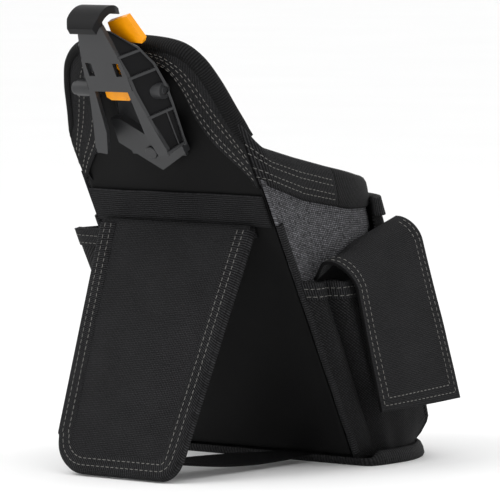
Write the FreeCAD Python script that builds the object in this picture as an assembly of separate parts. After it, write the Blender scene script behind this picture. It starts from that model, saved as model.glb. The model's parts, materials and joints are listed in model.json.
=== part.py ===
"""Electrician tool pouch: a leaning fabric pouch with a fold-out kickstand, a flap pocket and a belt clip.

Millimetres. +Z is up, the front of the pouch faces -Y and its back panel faces +Y.
The origin is the centre of the flat base, on the floor. The pouch stands as in use:
its body leans back on the opened kickstand.

Panel frame: x across the back panel, y out of the panel's back face, z up along the panel,
with zero at the panel's foot. to_lean() brings a shape from it to the row frame.
Kickstand frame: x across, y out of its back face, z up along it, with zero at the hinge.
"""
import FreeCAD, Part
import math
import os

V = FreeCAD.Vector
X_AXIS = V(1, 0, 0)

# ---- driving dimensions -------------------------------------------------
LEAN = 28.0                 # lean of the body, degrees from vertical
PANEL_FOOT_Z = 6.5          # height of the back panel's foot above the floor
BACK_Y = 53.0               # where the back panel's plane meets the floor
PANEL_HALF = 68.5           # half width of the back panel
WALL = 3.5                  # body wall
BODY_R = 72.0               # outer radius of the round front, and half width of the body
STRAIGHT = 25.0             # straight stretch of each side at the floor, from the back panel forwards
MOUTH_SPREAD = 0.267        # how much longer that stretch is for each millimetre of height
BASE_R = 81.0               # the base is wider, because the side pockets stand on it
BINDING = 4.0               # thickness of the ribbed band round the base
BASE_THICK = 4.0
BASE_BAND_Z = 10.0
TONGUE_TOP = 293.5          # height of the tongue along the panel
BAND_LOW = 166.0            # webbing band across the panel
BAND_WIDE = 22.3
PANEL_SKIN = 2.0
STIFFENER = 2.5
LINING = 2.0
PIPING_R = 2.3
PIPING_LONG = 163.0

KICK_OPEN = 22.7            # kickstand's angle from vertical when the stay strap is tight
KICK_TOP_HALF = 59.5
KICK_FOOT_HALF = 48.5
KICK_CORNER = 25.0
KICK_X = 3.0                # the kickstand is sewn on a little to one side
KICK_OFF = 5.4              # hinge line's distance from the panel
KICK_BORDER = 12.5
KICK_SKIN = 1.8
KICK_BOARD = 2.4
KICK_WRAP = 0.8             # thickness of the border tape

PIVOT_OFF = 13.0            # belt clip's pivot, off the panel and up it
PIVOT_UP = 268.0
PIN_R = 2.5
RUN_FIT = 0.05
LATCH_OFF = 18.5            # latch pivot
LATCH_UP = 288.0
LATCH_PIN_R = 1.5
FACE_OFF = 25.0             # outer face of the clip's front plate
FACE_THICK = 3.0
SPINE_OFF = 3.0            # clip base's plate, and its raised lower lip
LIP_OFF = 8.5

FLAP_X = -75.0              # flap hinge line on the right wall
FLAP_BACK_Y = 88.5
FLAP_BACK_Z = 132.7
FLAP_TILT = 16.6            # the hinge line climbs towards the front, degrees
FLAP_THICK = 2.4

PARTS = {}


# ---- helpers ------------------------------------------------------------
def put(name, shape):
    PARTS[name] = shape


def lean_y(z):
    """Row y of the back panel's plane at height z."""
    return BACK_Y + z * math.tan(math.radians(LEAN))


def to_lean(shape):
    moved = shape.copy()
    moved.rotate(V(0, 0, 0), X_AXIS, -LEAN)
    moved.translate(V(0, lean_y(PANEL_FOOT_Z), PANEL_FOOT_Z))
    return moved


def lean_point(x, off, up):
    a = math.radians(LEAN)
    y = lean_y(PANEL_FOOT_Z) + up * math.sin(a) + off * math.cos(a)
    return V(x, y, PANEL_FOOT_Z + up * math.cos(a) - off * math.sin(a))


def box(x0, x1, y0, y1, z0, z1):
    return Part.makeBox(x1 - x0, y1 - y0, z1 - z0, V(x0, y0, z0))


def cyl_x(radius, x0, x1, y, z):
    return Part.makeCylinder(radius, x1 - x0, V(x0, y, z), X_AXIS)


def polygon_xz(points, y0, y1):
    """Plate with a polygon outline in x and z, between two y values."""
    corners = [V(x, y0, z) for x, z in points]
    face = Part.Face(Part.makePolygon(corners + corners[:1]))
    return face.extrude(V(0, y1 - y0, 0))


def polygon_yz(points, x0, x1):
    corners = [V(x0, y, z) for y, z in points]
    face = Part.Face(Part.makePolygon(corners + corners[:1]))
    return face.extrude(V(x1 - x0, 0, 0))


def mirrored(shape):
    return shape.mirror(V(0, 0, 0), X_AXIS)


def spline(points):
    curve = Part.BSplineCurve()
    curve.interpolate(points)
    return curve.toShape()


# ---- round-fronted outline of the body ----------------------------------
def mid_y(z):
    """Row y of the round front's centre at height z; the front leans less than the back."""
    return lean_y(z) - STRAIGHT - MOUTH_SPREAD * z


def side_x(y, z):
    """Half width of the body at a row y and height z."""
    ahead = max(mid_y(z) - y, 0.0)
    return math.sqrt(BODY_R ** 2 - ahead ** 2)


def d_wire(radius, z, corner=0.0, back=0.0):
    """Flat back, straight sides and a half-round front, at height z."""
    y_back = lean_y(z) + back
    y_mid = mid_y(z)
    edges = []
    if corner > 0:
        k = corner * (1 - math.sqrt(0.5))
        a = V(radius - corner, y_back, z)
        b = V(radius, y_back - corner, z)
        edges.append(Part.Arc(a, V(radius - k, y_back - k, z), b).toShape())
        edges.append(Part.makeLine(b, V(radius, y_mid, z)))
    else:
        edges.append(Part.makeLine(V(radius, y_back, z), V(radius, y_mid, z)))
    front = Part.Arc(V(radius, y_mid, z), V(0, y_mid - radius, z), V(-radius, y_mid, z))
    edges.append(front.toShape())
    if corner > 0:
        b = V(-radius, y_back - corner, z)
        a = V(-radius + corner, y_back, z)
        edges.append(Part.makeLine(V(-radius, y_mid, z), b))
        edges.append(Part.Arc(b, V(-radius + k, y_back - k, z), a).toShape())
        edges.append(Part.makeLine(a, V(radius - corner, y_back, z)))
    else:
        edges.append(Part.makeLine(V(-radius, y_mid, z), V(-radius, y_back, z)))
        edges.append(Part.makeLine(V(-radius, y_back, z), V(radius, y_back, z)))
    return Part.Wire(edges)


def d_loft(levels, corner=0.0, back=0.0):
    """Solid through outlines given as pairs of height and radius."""
    return Part.makeLoft([d_wire(radius, z, corner, back) for z, radius in levels], True, True)


def d_prism(radius, z0, z1, corner=0.0, back=0.0):
    return d_loft([(z0, radius), (z1, radius)], corner, back)


def d_wall(outer, inner, z0, z1):
    """U-shaped wall, open at the back."""
    core = d_prism(inner, z0, z1, back=1.0)
    return d_prism(outer, z0, z1).cut(core)


# ---- base ---------------------------------------------------------------
def make_base():
    corner = BASE_R - BODY_R
    put("base_panel", d_prism(BASE_R, 0, BASE_THICK, corner))
    ring = d_prism(BASE_R + BINDING, 0, BASE_BAND_Z, corner + BINDING, BINDING)
    put("base_binding", ring.cut(d_prism(BASE_R, 0, BASE_BAND_Z, corner)))


# ---- body wall, rim and lining ------------------------------------------
COLLAR_LOW = [(-40, 158), (64.5, 160.5), (110, 168), (148.6, 180), (190, 195)]
COLLAR_TOP = [(190, 212), (161.9, 205), (120, 195), (87, 188), (50, 181), (-40, 170)]


def make_walls():
    above = polygon_yz(COLLAR_LOW + [(190, 400), (-40, 400)], -150, 150)
    band = polygon_yz(COLLAR_LOW + COLLAR_TOP, -150, 150)
    put("body_shell", d_wall(BODY_R, BODY_R - WALL, BASE_THICK, 230).cut(above))
    inner = BODY_R - WALL
    sleeve = d_wall(inner, inner - 1.2, BASE_THICK, 230)
    behind = d_prism(BODY_R, BASE_THICK, 230).cut(d_prism(BODY_R, BASE_THICK, 230, back=-stack_run()))
    put("inner_lining", sleeve.cut(above).cut(behind))
    put("rim_collar", d_wall(BODY_R + 3.0, inner, 100, 230).common(band))


def stack_run():
    """Horizontal run of the back panel's layers."""
    return (PANEL_SKIN + STIFFENER + LINING) / math.cos(math.radians(LEAN))


# ---- back panel and tongue ----------------------------------------------
TONGUE_SIDE = [(68.5, 226), (63.5, 242), (57, 265), (50, 279.5), (38.5, 289)]
BORDER_INNER = [(68.5, 193), (61, 204), (46, 222), (37.5, 240), (33, 262), (25, 276)]


def moved_out(points, grow):
    """Points of a right-hand outline moved outwards by grow."""
    out = []
    for i, (x, z) in enumerate(points):
        x0, z0 = points[max(i - 1, 0)]
        x1, z1 = points[min(i + 1, len(points) - 1)]
        run = math.hypot(x1 - x0, z1 - z0)
        out.append((x + grow * (z1 - z0) / run, z - grow * (x1 - x0) / run))
    return out


def arch_face(side, top, y, foot):
    """Face under an arch through the side points, mirrored, down to a straight foot."""
    right = [V(x, y, z) for x, z in side]
    left = [V(-x, y, z) for x, z in reversed(side)]
    arch = spline(right + [V(0, y, top)] + left)
    a = V(side[0][0], y, foot)
    b = V(-side[0][0], y, foot)
    edges = [Part.makeLine(b, a), Part.makeLine(a, right[0]), arch, Part.makeLine(left[-1], b)]
    return Part.Face(Part.Wire(edges))


def arch_plate(side, top, y0, y1, foot):
    return arch_face(side, top, y0, foot).extrude(V(0, y1 - y0, 0))


TONGUE_TAPE = 2.5           # binding round the tongue's edge
BORDER_THICK = 1.8
BORDER_TOP = 278.5
BAND_THICK = 2.2
HINGE_TAPE_LONG = 120.0
HINGE_TAPE_WIDE = 14.0
HINGE_TAPE_THICK = 1.2


def make_back():
    skin = -PANEL_SKIN
    board = skin - STIFFENER
    inside = board - LINING
    foot = 0.0
    put("back_panel", to_lean(arch_plate(TONGUE_SIDE, TONGUE_TOP, skin, 0, foot)))
    put("back_stiffener", to_lean(arch_plate(TONGUE_SIDE, TONGUE_TOP, board, skin, foot)))
    put("back_lining", to_lean(arch_plate(TONGUE_SIDE, TONGUE_TOP, inside, board, foot)))
    low = TONGUE_SIDE[0][1]
    outside = moved_out(TONGUE_SIDE, TONGUE_TAPE)
    ring = arch_plate(outside, TONGUE_TOP + TONGUE_TAPE, inside, TONGUE_TAPE, low - 1)
    ring = ring.cut(arch_plate(TONGUE_SIDE, TONGUE_TOP, inside - 1, TONGUE_TAPE + 1, low - 2))
    above = box(-100, 100, -20, 20, low, 400)
    put("tongue_binding", to_lean(ring.common(above)))
    border = arch_plate(TONGUE_SIDE, TONGUE_TOP, 0, BORDER_THICK, BAND_LOW + BAND_WIDE)
    hole = arch_plate(BORDER_INNER, BORDER_TOP, -1, BORDER_THICK + 1, BAND_LOW)
    put("tongue_border", to_lean(border.cut(hole)))
    band = box(-PANEL_HALF, PANEL_HALF, 0, BAND_THICK, BAND_LOW, BAND_LOW + BAND_WIDE)
    put("waist_band", to_lean(band))
    half = HINGE_TAPE_LONG / 2
    tape = box(KICK_X - half, KICK_X + half, 0, HINGE_TAPE_THICK, BAND_LOW - HINGE_TAPE_WIDE, BAND_LOW)
    put("hinge_tape", to_lean(tape))
    for name, side in (("side_piping_left", 1), ("side_piping_right", -1)):
        run = Part.makeCylinder(PIPING_R, PIPING_LONG, V(side * (BODY_R + PIPING_R), -1.5, 6))
        put(name, to_lean(run))


# ---- pockets ------------------------------------------------------------
POCKET_NEAR = {1: 6.5, -1: 3.0}     # the left and right pocket start this far in front of the back panel
POCKET_FAR = 69.0           # and end this far in front of it at the floor
POCKET_SPREAD = 0.22        # the far end moves forwards with height
POCKET_FABRIC = 2.2
RIGHT_POCKET = [(BASE_THICK, 76), (60, 84), (118, 84)]
LEFT_POCKET = [(BASE_THICK, 77), (BASE_BAND_Z, 77.5), (40, 94), (100, 99), (144, 99)]
FRONT_POCKET = [(BASE_THICK, 80.5), (BASE_BAND_Z, 80.8), (26, 90), (110, 87), (168, 81)]
FRONT_WALL = 2.4
FRONT_EDGE = 45.0           # the front pocket starts this far in front of the round front's centre
DIVIDER_DEEP = 54.0
DIVIDER_THICK = 1.6
DIVIDER_TOP = 150.0
LOOP_X = (-36, -12, 12, 36)
LOOP_R = 10.0
LOOP_TAPE = 1.4
LOOP_Z = 120.0
LOOP_TALL = 24.0


def pocket_wire(bulge, z, inset, side):
    """Footprint of a side pocket at height z; side is 1 on the left and -1 on the right."""
    near = -POCKET_NEAR[side] - inset
    far = -POCKET_FAR - POCKET_SPREAD * z + inset
    reach = bulge - inset
    sunk = 1.5 + inset
    end = side_x(lean_y(z) + far, z) - sunk
    points = [(BODY_R - sunk, near), (reach - 4, -15), (reach, -30), (reach - 2, far + 27), (end, far)]
    places = [V(side * x, lean_y(z) + s, z) for x, s in points]
    inside = [V(side * 30, lean_y(z) + s, z) for s in (far, near)]
    edges = [spline(places)]
    edges.append(Part.makeLine(places[-1], inside[0]))
    edges.append(Part.makeLine(inside[0], inside[1]))
    edges.append(Part.makeLine(inside[1], places[0]))
    return Part.Wire(edges)


def side_pocket(levels, side):
    """Open-topped pocket wall; levels are heights and how far the pocket stands out there."""
    outer = Part.makeLoft([pocket_wire(reach, z, 0, side) for z, reach in levels], True)
    inner = Part.makeLoft([pocket_wire(reach, z, POCKET_FABRIC, side) for z, reach in levels], True)
    body = d_prism(BODY_R, 0, 200)
    return outer.cut(inner).cut(body)


def front_of(distance, top):
    """Everything further forward than a distance in front of the round front's centre."""
    line = [(mid_y(0) - distance, 0), (mid_y(top) - distance, top)]
    return polygon_yz([(-150, 0)] + line + [(-150, top)], -100, 100)


def make_front_pocket():
    top = FRONT_POCKET[-1][0]
    outer = d_loft(FRONT_POCKET).common(front_of(FRONT_EDGE, top))
    hollow = d_loft([(z, radius - FRONT_WALL) for z, radius in FRONT_POCKET])
    hollow = hollow.common(front_of(FRONT_EDGE + FRONT_WALL, top))
    core = d_prism(BODY_R, 0, 200)
    under_collar = d_prism(BODY_R + 3.4, 150, 200)
    put("front_pocket", outer.cut(hollow).cut(core).cut(under_collar))


def make_divider():
    """Flat divider with a row of webbing loops, inside the main compartment."""
    back = DIVIDER_DEEP - DIVIDER_THICK
    top = DIVIDER_TOP
    slab = polygon_yz([(BACK_Y - DIVIDER_DEEP, 0), (BACK_Y - back, 0),
                       (lean_y(top) - back, top), (lean_y(top) - DIVIDER_DEEP, top)], -80, 80)
    room = d_prism(BODY_R - WALL - 1.2, BASE_THICK, top)
    put("divider_panel", slab.common(room))
    loops = []
    for x in LOOP_X:
        arch = Part.makeCylinder(LOOP_R, LOOP_TALL, V(x, 0, 0))
        arch = arch.cut(Part.makeCylinder(LOOP_R - LOOP_TAPE, LOOP_TALL, V(x, 0, 0)))
        loops.append(arch.common(box(x - 12, x + 12, 0, 12, 0, LOOP_TALL)))
    strip = loops[0].fuse(loops[1:])
    strip.rotate(V(0, 0, 0), X_AXIS, -LEAN)
    strip.translate(V(0, lean_y(LOOP_Z) - back + 0.02, LOOP_Z))
    put("tool_loops", strip)


def make_pockets():
    put("right_side_pocket", side_pocket(RIGHT_POCKET, -1))
    put("left_side_pocket", side_pocket(LEFT_POCKET, 1))
    make_front_pocket()
    make_divider()


# ---- flap ---------------------------------------------------------------
def to_flap(shape):
    """Flap frame: x outwards, y along the hinge towards the front, z up, zero at the hinge's back end."""
    moved = shape.copy()
    moved.rotate(V(0, 0, 0), V(0, 0, 1), 180)
    moved.rotate(V(0, 0, 0), X_AXIS, -FLAP_TILT)
    moved.translate(V(FLAP_X, FLAP_BACK_Y, FLAP_BACK_Z))
    return moved


FLAP_BEND = 15.0            # radius of the arch over the pocket mouth
FLAP_START = 0.4            # gap to the wall at the seam
FLAP_RUN = 2.0              # straight stretch before the arch
FLAP_FLARE = 3.0            # how far the flap's foot stands out from its arch
FLAP_LONG = 126.0
FLAP_WIDE = 78.0


def flap_side(grow):
    """Points along one face of the flap, grow off its middle surface."""
    r = FLAP_BEND + grow
    slant = r * math.sqrt(0.5)
    start = V(FLAP_START, 0, grow)
    arch = V(FLAP_RUN, 0, grow)
    middle = V(FLAP_RUN + slant, 0, slant - FLAP_BEND)
    drop = V(FLAP_RUN + r, 0, -FLAP_BEND)
    foot = V(FLAP_RUN + r + FLAP_FLARE, 0, -FLAP_LONG)
    return start, arch, middle, drop, foot


def flap_profile(grow0, grow1):
    """Strip that leaves the wall, arches out over the pocket mouth and hangs down."""
    s0, a0, m0, b0, c0 = flap_side(grow0)
    s1, a1, m1, b1, c1 = flap_side(grow1)
    edges = [Part.makeLine(s1, a1), Part.Arc(a1, m1, b1).toShape(), Part.makeLine(b1, c1),
             Part.makeLine(c1, c0), Part.makeLine(c0, b0), Part.Arc(b0, m0, a0).toShape(),
             Part.makeLine(a0, s0), Part.makeLine(s0, s1)]
    return Part.Face(Part.Wire(edges))


HOOK_THICK = 1.2            # hook tape under the flap


def make_flap():
    half = FLAP_THICK / 2
    sheet = flap_profile(-half, half).extrude(V(0, FLAP_WIDE, 0))
    # side outline: the back edge is square to the hinge, the bottom drops towards the front
    outline = polygon_yz([(0, -102), (77, -122), (72.5, 6), (4, 6), (0, -10)], -5, 40)
    flap = sheet.common(outline)
    put("pocket_flap", to_flap(flap))
    hook = flap_profile(-half - HOOK_THICK, -half - 0.02).extrude(V(0, FLAP_WIDE, 0))
    hook = hook.common(polygon_yz([(20, -92), (58, -92), (58, -66), (20, -66)], -5, 40))
    put("flap_hook_tape", to_flap(hook))


# ---- kickstand ----------------------------------------------------------
def kick_length():
    """Down to the floor, for the lower edge of the outer face."""
    a = math.radians(KICK_OPEN)
    hinge_z = lean_point(0, KICK_OFF, BAND_LOW).z
    half = KICK_SKIN + KICK_BOARD / 2 + KICK_WRAP
    return (hinge_z - half * math.sin(a)) / math.cos(a)


def to_kick(shape):
    moved = shape.copy()
    moved.rotate(V(0, 0, 0), X_AXIS, KICK_OPEN)
    moved.translate(lean_point(KICK_X, KICK_OFF, BAND_LOW))
    return moved


def kick_plate(inset, y0, y1):
    top = -0.8 - inset
    foot = -kick_length() + inset
    slope = (KICK_TOP_HALF - KICK_FOOT_HALF) / kick_length()
    a = KICK_TOP_HALF - inset
    b = KICK_FOOT_HALF - inset
    r = max(KICK_CORNER - inset, 4.0)
    plate = polygon_xz([(-a, top), (a, top), (b, foot), (-b, foot)], y0, y1)
    corners = [e for e in plate.Edges
               if abs(e.Vertexes[0].Z - foot) < 0.1 and abs(e.Vertexes[-1].Z - foot) < 0.1
               and abs(e.Vertexes[0].X - e.Vertexes[-1].X) < 0.1]
    return plate.makeFillet(r, corners)


STRAP_THICK = 1.6
STRAP_SIDES = (-41, -20)


def make_kickstand():
    core = KICK_BOARD / 2
    skin = core + KICK_SKIN
    wrap = skin + KICK_WRAP
    put("kickstand_board", to_kick(kick_plate(KICK_WRAP, -core, core)))
    put("kickstand_back_skin", to_kick(kick_plate(KICK_WRAP, core, skin)))
    put("kickstand_front_skin", to_kick(kick_plate(KICK_WRAP, -skin, -core)))
    tape = kick_plate(0, -wrap, wrap).cut(kick_plate(KICK_WRAP, -skin, skin))
    tape = tape.cut(kick_plate(KICK_BORDER, -wrap - 1, wrap + 1))
    put("kickstand_binding", to_kick(tape))
    put("stay_strap", make_strap(wrap))


def make_strap(wrap):
    """Strap from the base band to the kickstand's inner face, which is wrap off the middle of its board."""
    foot = BACK_Y + BINDING + 4.4
    tall = 7.0
    hinge = lean_point(0, KICK_OFF, BAND_LOW)
    a = math.radians(KICK_OPEN)
    down = kick_length() - 14.0
    end_y = hinge.y + down * math.sin(a) - wrap * math.cos(a) - 0.4
    end_z = hinge.z - down * math.cos(a) - wrap * math.sin(a)
    side = [(foot, tall), (foot, tall - STRAP_THICK), (end_y, end_z - STRAP_THICK), (end_y, end_z)]
    return polygon_yz(side, *STRAP_SIDES)


# ---- belt clip ----------------------------------------------------------
RIVETS = [(-9, 270), (9, 270), (0, 221)]
RIVET_R = 2.2
PLATE_THICK = 2.0
EAR_R = 4.5                 # the clip base's two ears, which hold the pivot pin
EAR_IN = 16.5
EAR_OUT = 20.0


def stack_thick():
    return PANEL_SKIN + STIFFENER + LINING


def rivet_hole(x, up):
    return Part.makeCylinder(RIVET_R, 40, V(x, -20, up), V(0, 1, 0))


def make_clip_base():
    plan = [(-21, 216), (21, 216), (21, 272), (14, 276.5), (-14, 276.5), (-21, 272)]
    spine = polygon_xz(plan, 0, SPINE_OFF)
    outline = [(-26, 221), (-4, 208.5), (24, 227), (24, 244), (17, 244), (0, 233), (-17, 244), (-24, 244)]
    lip = polygon_xz(outline, SPINE_OFF, LIP_OFF)
    base = spine.fuse(lip)
    for x0, x1 in ((EAR_IN, EAR_OUT), (-EAR_OUT, -EAR_IN)):
        ear = box(x0, x1, SPINE_OFF - 0.5, PIVOT_OFF, PIVOT_UP - EAR_R, PIVOT_UP + EAR_R)
        ear = ear.fuse(cyl_x(EAR_R, x0, x1, PIVOT_OFF, PIVOT_UP))
        base = base.fuse(ear)
    base = base.cut(cyl_x(PIN_R, -30, 30, PIVOT_OFF, PIVOT_UP))
    for x, up in RIVETS:
        base = base.cut(rivet_hole(x, up))
    put("clip_base", to_lean(base))


def make_rivets():
    """Backing plate inside the tongue, and the rivets that clamp the clip base to it."""
    inside = -stack_thick()
    far = inside - PLATE_THICK
    plate = polygon_xz([(-24, 212), (24, 212), (24, 288), (-24, 288)], far, inside)
    rivets = []
    for x, up in RIVETS:
        plate = plate.cut(rivet_hole(x, up))
        top = LIP_OFF if up < 230 else SPINE_OFF
        shank = Part.makeCylinder(RIVET_R, top - far, V(x, far, up), V(0, 1, 0))
        head = Part.makeCylinder(4.2, 1.4, V(x, top, up), V(0, 1, 0))
        tail = Part.makeCylinder(4.2, 1.2, V(x, far - 1.2, up), V(0, 1, 0))
        rivets.append(shank.fuse(head).fuse(tail))
    put("clip_backing_plate", to_lean(plate))
    put("clip_rivets", to_lean(Part.Compound(rivets)))
    for name in ("back_panel", "back_stiffener", "back_lining"):
        for x, up in RIVETS:
            PARTS[name] = PARTS[name].cut(to_lean(rivet_hole(x, up)))


def make_pin_and_spring():
    pin = cyl_x(PIN_R, -BOSS_SHORT - 0.2, BOSS_LONG + 0.5, PIVOT_OFF, PIVOT_UP)
    pin = pin.fuse(cyl_x(4.2, BOSS_LONG + 0.2, BOSS_LONG + 3.2, PIVOT_OFF, PIVOT_UP))
    put("pivot_pin", to_lean(pin))
    coil = Part.makeHelix(1.5, 24.0, 3.6)
    section = Part.Wire(Part.makeCircle(0.6, V(3.6, 0, 0), V(0, 1, 0)))
    spring = Part.Wire(coil).makePipeShell([section], True, True)
    spring.rotate(V(0, 0, 0), V(0, 1, 0), 90)
    spring.translate(V(-12, PIVOT_OFF, PIVOT_UP))
    put("torsion_spring", to_lean(spring))


# Clip side wall: height, x of its front edge, x of its rim, and the rim's distance off the panel
CLIP_SIDE = [(313, 10.0, 10.8, 20.5), (298.4, 13.5, 23.3, 14.0), (285.6, 16.6, 28.0, 10.0),
             (272, 17.6, 31.8, 10.2), (258.2, 21.2, 32.2, 10.2), (229, 28.0, 31.2, 10.2)]
CLIP_WALL = 2.2
CLIP_SUNK = 1.2             # how far the wall's panels lie below its ribs
CLIP_RIBS = (296.5, 282, 255, 230.6)
BOSS_R = 5.0                # pivot bosses on the lever; the one on the right side is longer
BOSS_START = 23.6
BOSS_SHORT = 31.0
BOSS_LONG = 36.0
LUG_IN = 10.5               # bearing lugs of the latch pin, inside the front plate
LUG_OUT = 14.5
LUG_HALF = 3.0


def side_wall(levels, outer_step, start=0.0, stop=1.0):
    """Flared wall between the clip's front edge and its rim, or the share of it from start to stop."""
    wires = []
    for up, front, rim, rim_off in levels:
        run = math.hypot(rim - front, FACE_OFF - rim_off)
        nx = (FACE_OFF - rim_off) / run
        ny = (rim - front) / run
        points = []
        corners = ((start, -CLIP_WALL), (stop, -CLIP_WALL), (stop, outer_step), (start, outer_step))
        for share, step in corners:
            x = front + share * (rim - front) + nx * step
            y = FACE_OFF - share * (FACE_OFF - rim_off) + ny * step
            points.append(V(x, y, up))
        wires.append(Part.makePolygon(points + points[:1]))
    return Part.makeLoft(wires, True, True)


def side_at(up):
    """The side wall's row at a height."""
    for high, low in zip(CLIP_SIDE, CLIP_SIDE[1:]):
        if low[0] <= up <= high[0]:
            t = (up - low[0]) / (high[0] - low[0])
            return tuple(b + t * (a - b) for a, b in zip(high, low))
    return CLIP_SIDE[-1]


def framed_wall():
    """Side wall with its panels sunk between ribs, a front edge and a thicker rim."""
    wall = side_wall(CLIP_SIDE, -CLIP_SUNK)
    wall = wall.fuse(side_wall(CLIP_SIDE, 0.0, 0.0, 0.1))
    wall = wall.fuse(side_wall(CLIP_SIDE, 0.6, 0.92, 1.0))
    wall = wall.fuse(side_wall([side_at(CLIP_RIBS[2]), side_at(CLIP_RIBS[3])], -0.5, 0.66, 0.71))
    for up in CLIP_RIBS:
        wall = wall.fuse(side_wall([side_at(up + 0.8), side_at(up - 0.8)], 0.3))
    return wall


def make_clip_lever():
    y0 = FACE_OFF - FACE_THICK
    face = polygon_xz([(-16.8, 273), (16.8, 273), (16.6, 284), (15.2, 294), (9.4, 318), (-9.4, 318),
                       (-15.2, 294), (-16.6, 284)], y0, FACE_OFF)
    for x in (-10.6, 10.6):
        face = face.cut(box(x - 2.3, x + 2.3, y0 - 1, FACE_OFF + 1, 283.7, 292.8))
    lever = face
    for sign in (-1, 1):
        leg = [(12.8, 274), (17.4, 274), (22.4, 252.6), (28.0, 233.0), (27.0, 229.5), (20.5, 228.5),
               (19.6, 230.0), (15.0, 244.0)]
        leg_plate = polygon_xz([(sign * x, z) for x, z in leg], y0, FACE_OFF)
        boss_end = BOSS_LONG if sign > 0 else BOSS_SHORT
        wall = framed_wall().fuse(cyl_x(BOSS_R, BOSS_START, boss_end, PIVOT_OFF, PIVOT_UP))
        if sign < 0:
            wall = mirrored(wall)
        lever = lever.fuse(leg_plate).fuse(wall)
    lever = lever.cut(cyl_x(PIN_R + RUN_FIT, -60, 60, PIVOT_OFF, PIVOT_UP))
    # bearings for the latch pin, on the inside of the front plate
    for x0, x1 in ((LUG_IN, LUG_OUT), (-LUG_OUT, -LUG_IN)):
        lug = box(x0, x1, LATCH_OFF - LUG_HALF, y0 + 0.5, LATCH_UP - LUG_HALF, LATCH_UP + LUG_HALF)
        lever = lever.fuse(lug)
    lever = lever.cut(cyl_x(LATCH_PIN_R, -LUG_OUT, LUG_OUT, LATCH_OFF, LATCH_UP))
    put("clip_lever", to_lean(lever))
    put("latch_pin", to_lean(cyl_x(LATCH_PIN_R, -LUG_OUT, LUG_OUT, LATCH_OFF, LATCH_UP)))
    put("thumb_cap", to_lean(make_cap()))


def make_cap():
    """Arched thumb rest over the lever's neck."""
    half = 12.0
    top = Part.Arc(V(-half, 33, 321), V(-half, 18, 327.5), V(-half, 5, 320)).toShape()
    low = Part.Arc(V(-half, 6.2, 316.5), V(-half, 18, 322.5), V(-half, 31.6, 316.5)).toShape()
    ends = [Part.makeLine(V(-half, 5, 320), V(-half, 6.2, 316.5)),
            Part.makeLine(V(-half, 31.6, 316.5), V(-half, 33, 321))]
    arch = Part.Face(Part.Wire([top, ends[0], low, ends[1]])).extrude(V(2 * half, 0, 0))
    plan = polygon_z([(-9.5, 34), (9.5, 34), (12, 28), (12, 11), (9.0, 4), (-9.0, 4), (-12, 11), (-12, 28)])
    arch = arch.common(plan)
    stem = box(-9.2, 9.2, FACE_OFF - FACE_THICK, FACE_OFF, 318, 323.2)
    gusset = polygon_yz([(22, 306), (22, 322.5), (12, 322.5), (12, 317), (17, 314)], -2.2, 2.2)
    return arch.fuse(stem.cut(arch)).fuse(gusset.cut(arch))


def polygon_z(points):
    corners = [V(x, y, 290) for x, y in points]
    return Part.Face(Part.makePolygon(corners + corners[:1])).extrude(V(0, 0, 60))


# Finger tabs of the latch: the left one is long, the right one short
LATCH_TAB = [(6, 299.6), (-8, 299.6), (-12, 301.5), (-25.9, 300.4), (-27.8, 303), (-21, 319), (-12, 316.6),
             (-4.6, 314.5), (-4.6, 303), (6, 303)]
LATCH_SHORT_TAB = [(-6, 299.6), (8, 299.6), (12, 301.5), (18, 301), (19.5, 303), (14, 312), (8.5, 310),
                   (8, 303), (-6, 303)]
TAB_OFF = (9.0, 13.0)


def make_latch():
    plate_y = (17.2, 19.8)
    tongue = polygon_xz([(-9, 285), (-10, 266), (-7, 264), (7, 264), (10, 266), (9, 285)], *plate_y)
    hub = cyl_x(3.2, -9, 9, LATCH_OFF, LATCH_UP)
    latch = tongue.fuse(hub)
    latch = latch.fuse(box(-7, 7, TAB_OFF[1] - 1, plate_y[1], LATCH_UP + 6, 303))
    latch = latch.fuse(box(-7, 7, 15.5, plate_y[1], LATCH_UP, 303))
    latch = latch.fuse(polygon_xz(LATCH_TAB, *TAB_OFF)).fuse(polygon_xz(LATCH_SHORT_TAB, *TAB_OFF))
    latch = latch.cut(cyl_x(LATCH_PIN_R + RUN_FIT, -12, 12, LATCH_OFF, LATCH_UP))
    latch = latch.cut(box(-3.4, 3.4, 8, 40, 303.5, 330))
    put("release_latch", to_lean(latch))
    leaf = polygon_xz([(-3, 276), (3, 276), (3, 283.2), (-3, 283.2)], 21.35, 21.7)
    foot = polygon_xz([(-3, 281.5), (3, 281.5), (3, 283.2), (-3, 283.2)], 21.7, 22.0)
    put("latch_spring", to_lean(leaf.fuse(foot)))


def main():
    make_base()
    make_walls()
    make_back()
    make_pockets()
    make_flap()
    make_kickstand()
    make_clip_base()
    make_rivets()
    make_pin_and_spring()
    make_clip_lever()
    make_latch()
    os.makedirs("parts", exist_ok=True)
    for name, shape in PARTS.items():
        shape.exportStep("parts/" + name + ".step")
        low = shape.BoundBox
        print("%-22s valid %s solids %d vol %9.1f  x %.1f %.1f  y %.1f %.1f  z %.2f %.2f" % (
            name, shape.isValid(), len(shape.Solids), shape.Volume,
            low.XMin, low.XMax, low.YMin, low.YMax, low.ZMin, low.ZMax))


main()
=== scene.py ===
"""Looks of the electrician tool pouch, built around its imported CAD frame.

Shapes are worked out in millimetres, in the same frames as the CAD source:
  row frame    origin at the centre of the base, +Z up, front at -Y
  panel frame  x across the back panel, off out of its back face, up along it
  kick frame   x across the kickstand, out of its back face, down along it
  flap frame   out of the wall, along the hinge towards the front, up
Cloth pieces carry a point attribute "cloth" with their own flat coordinates in
millimetres, so that weaves follow the fabric round every bend.
"""
import json
import math

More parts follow.
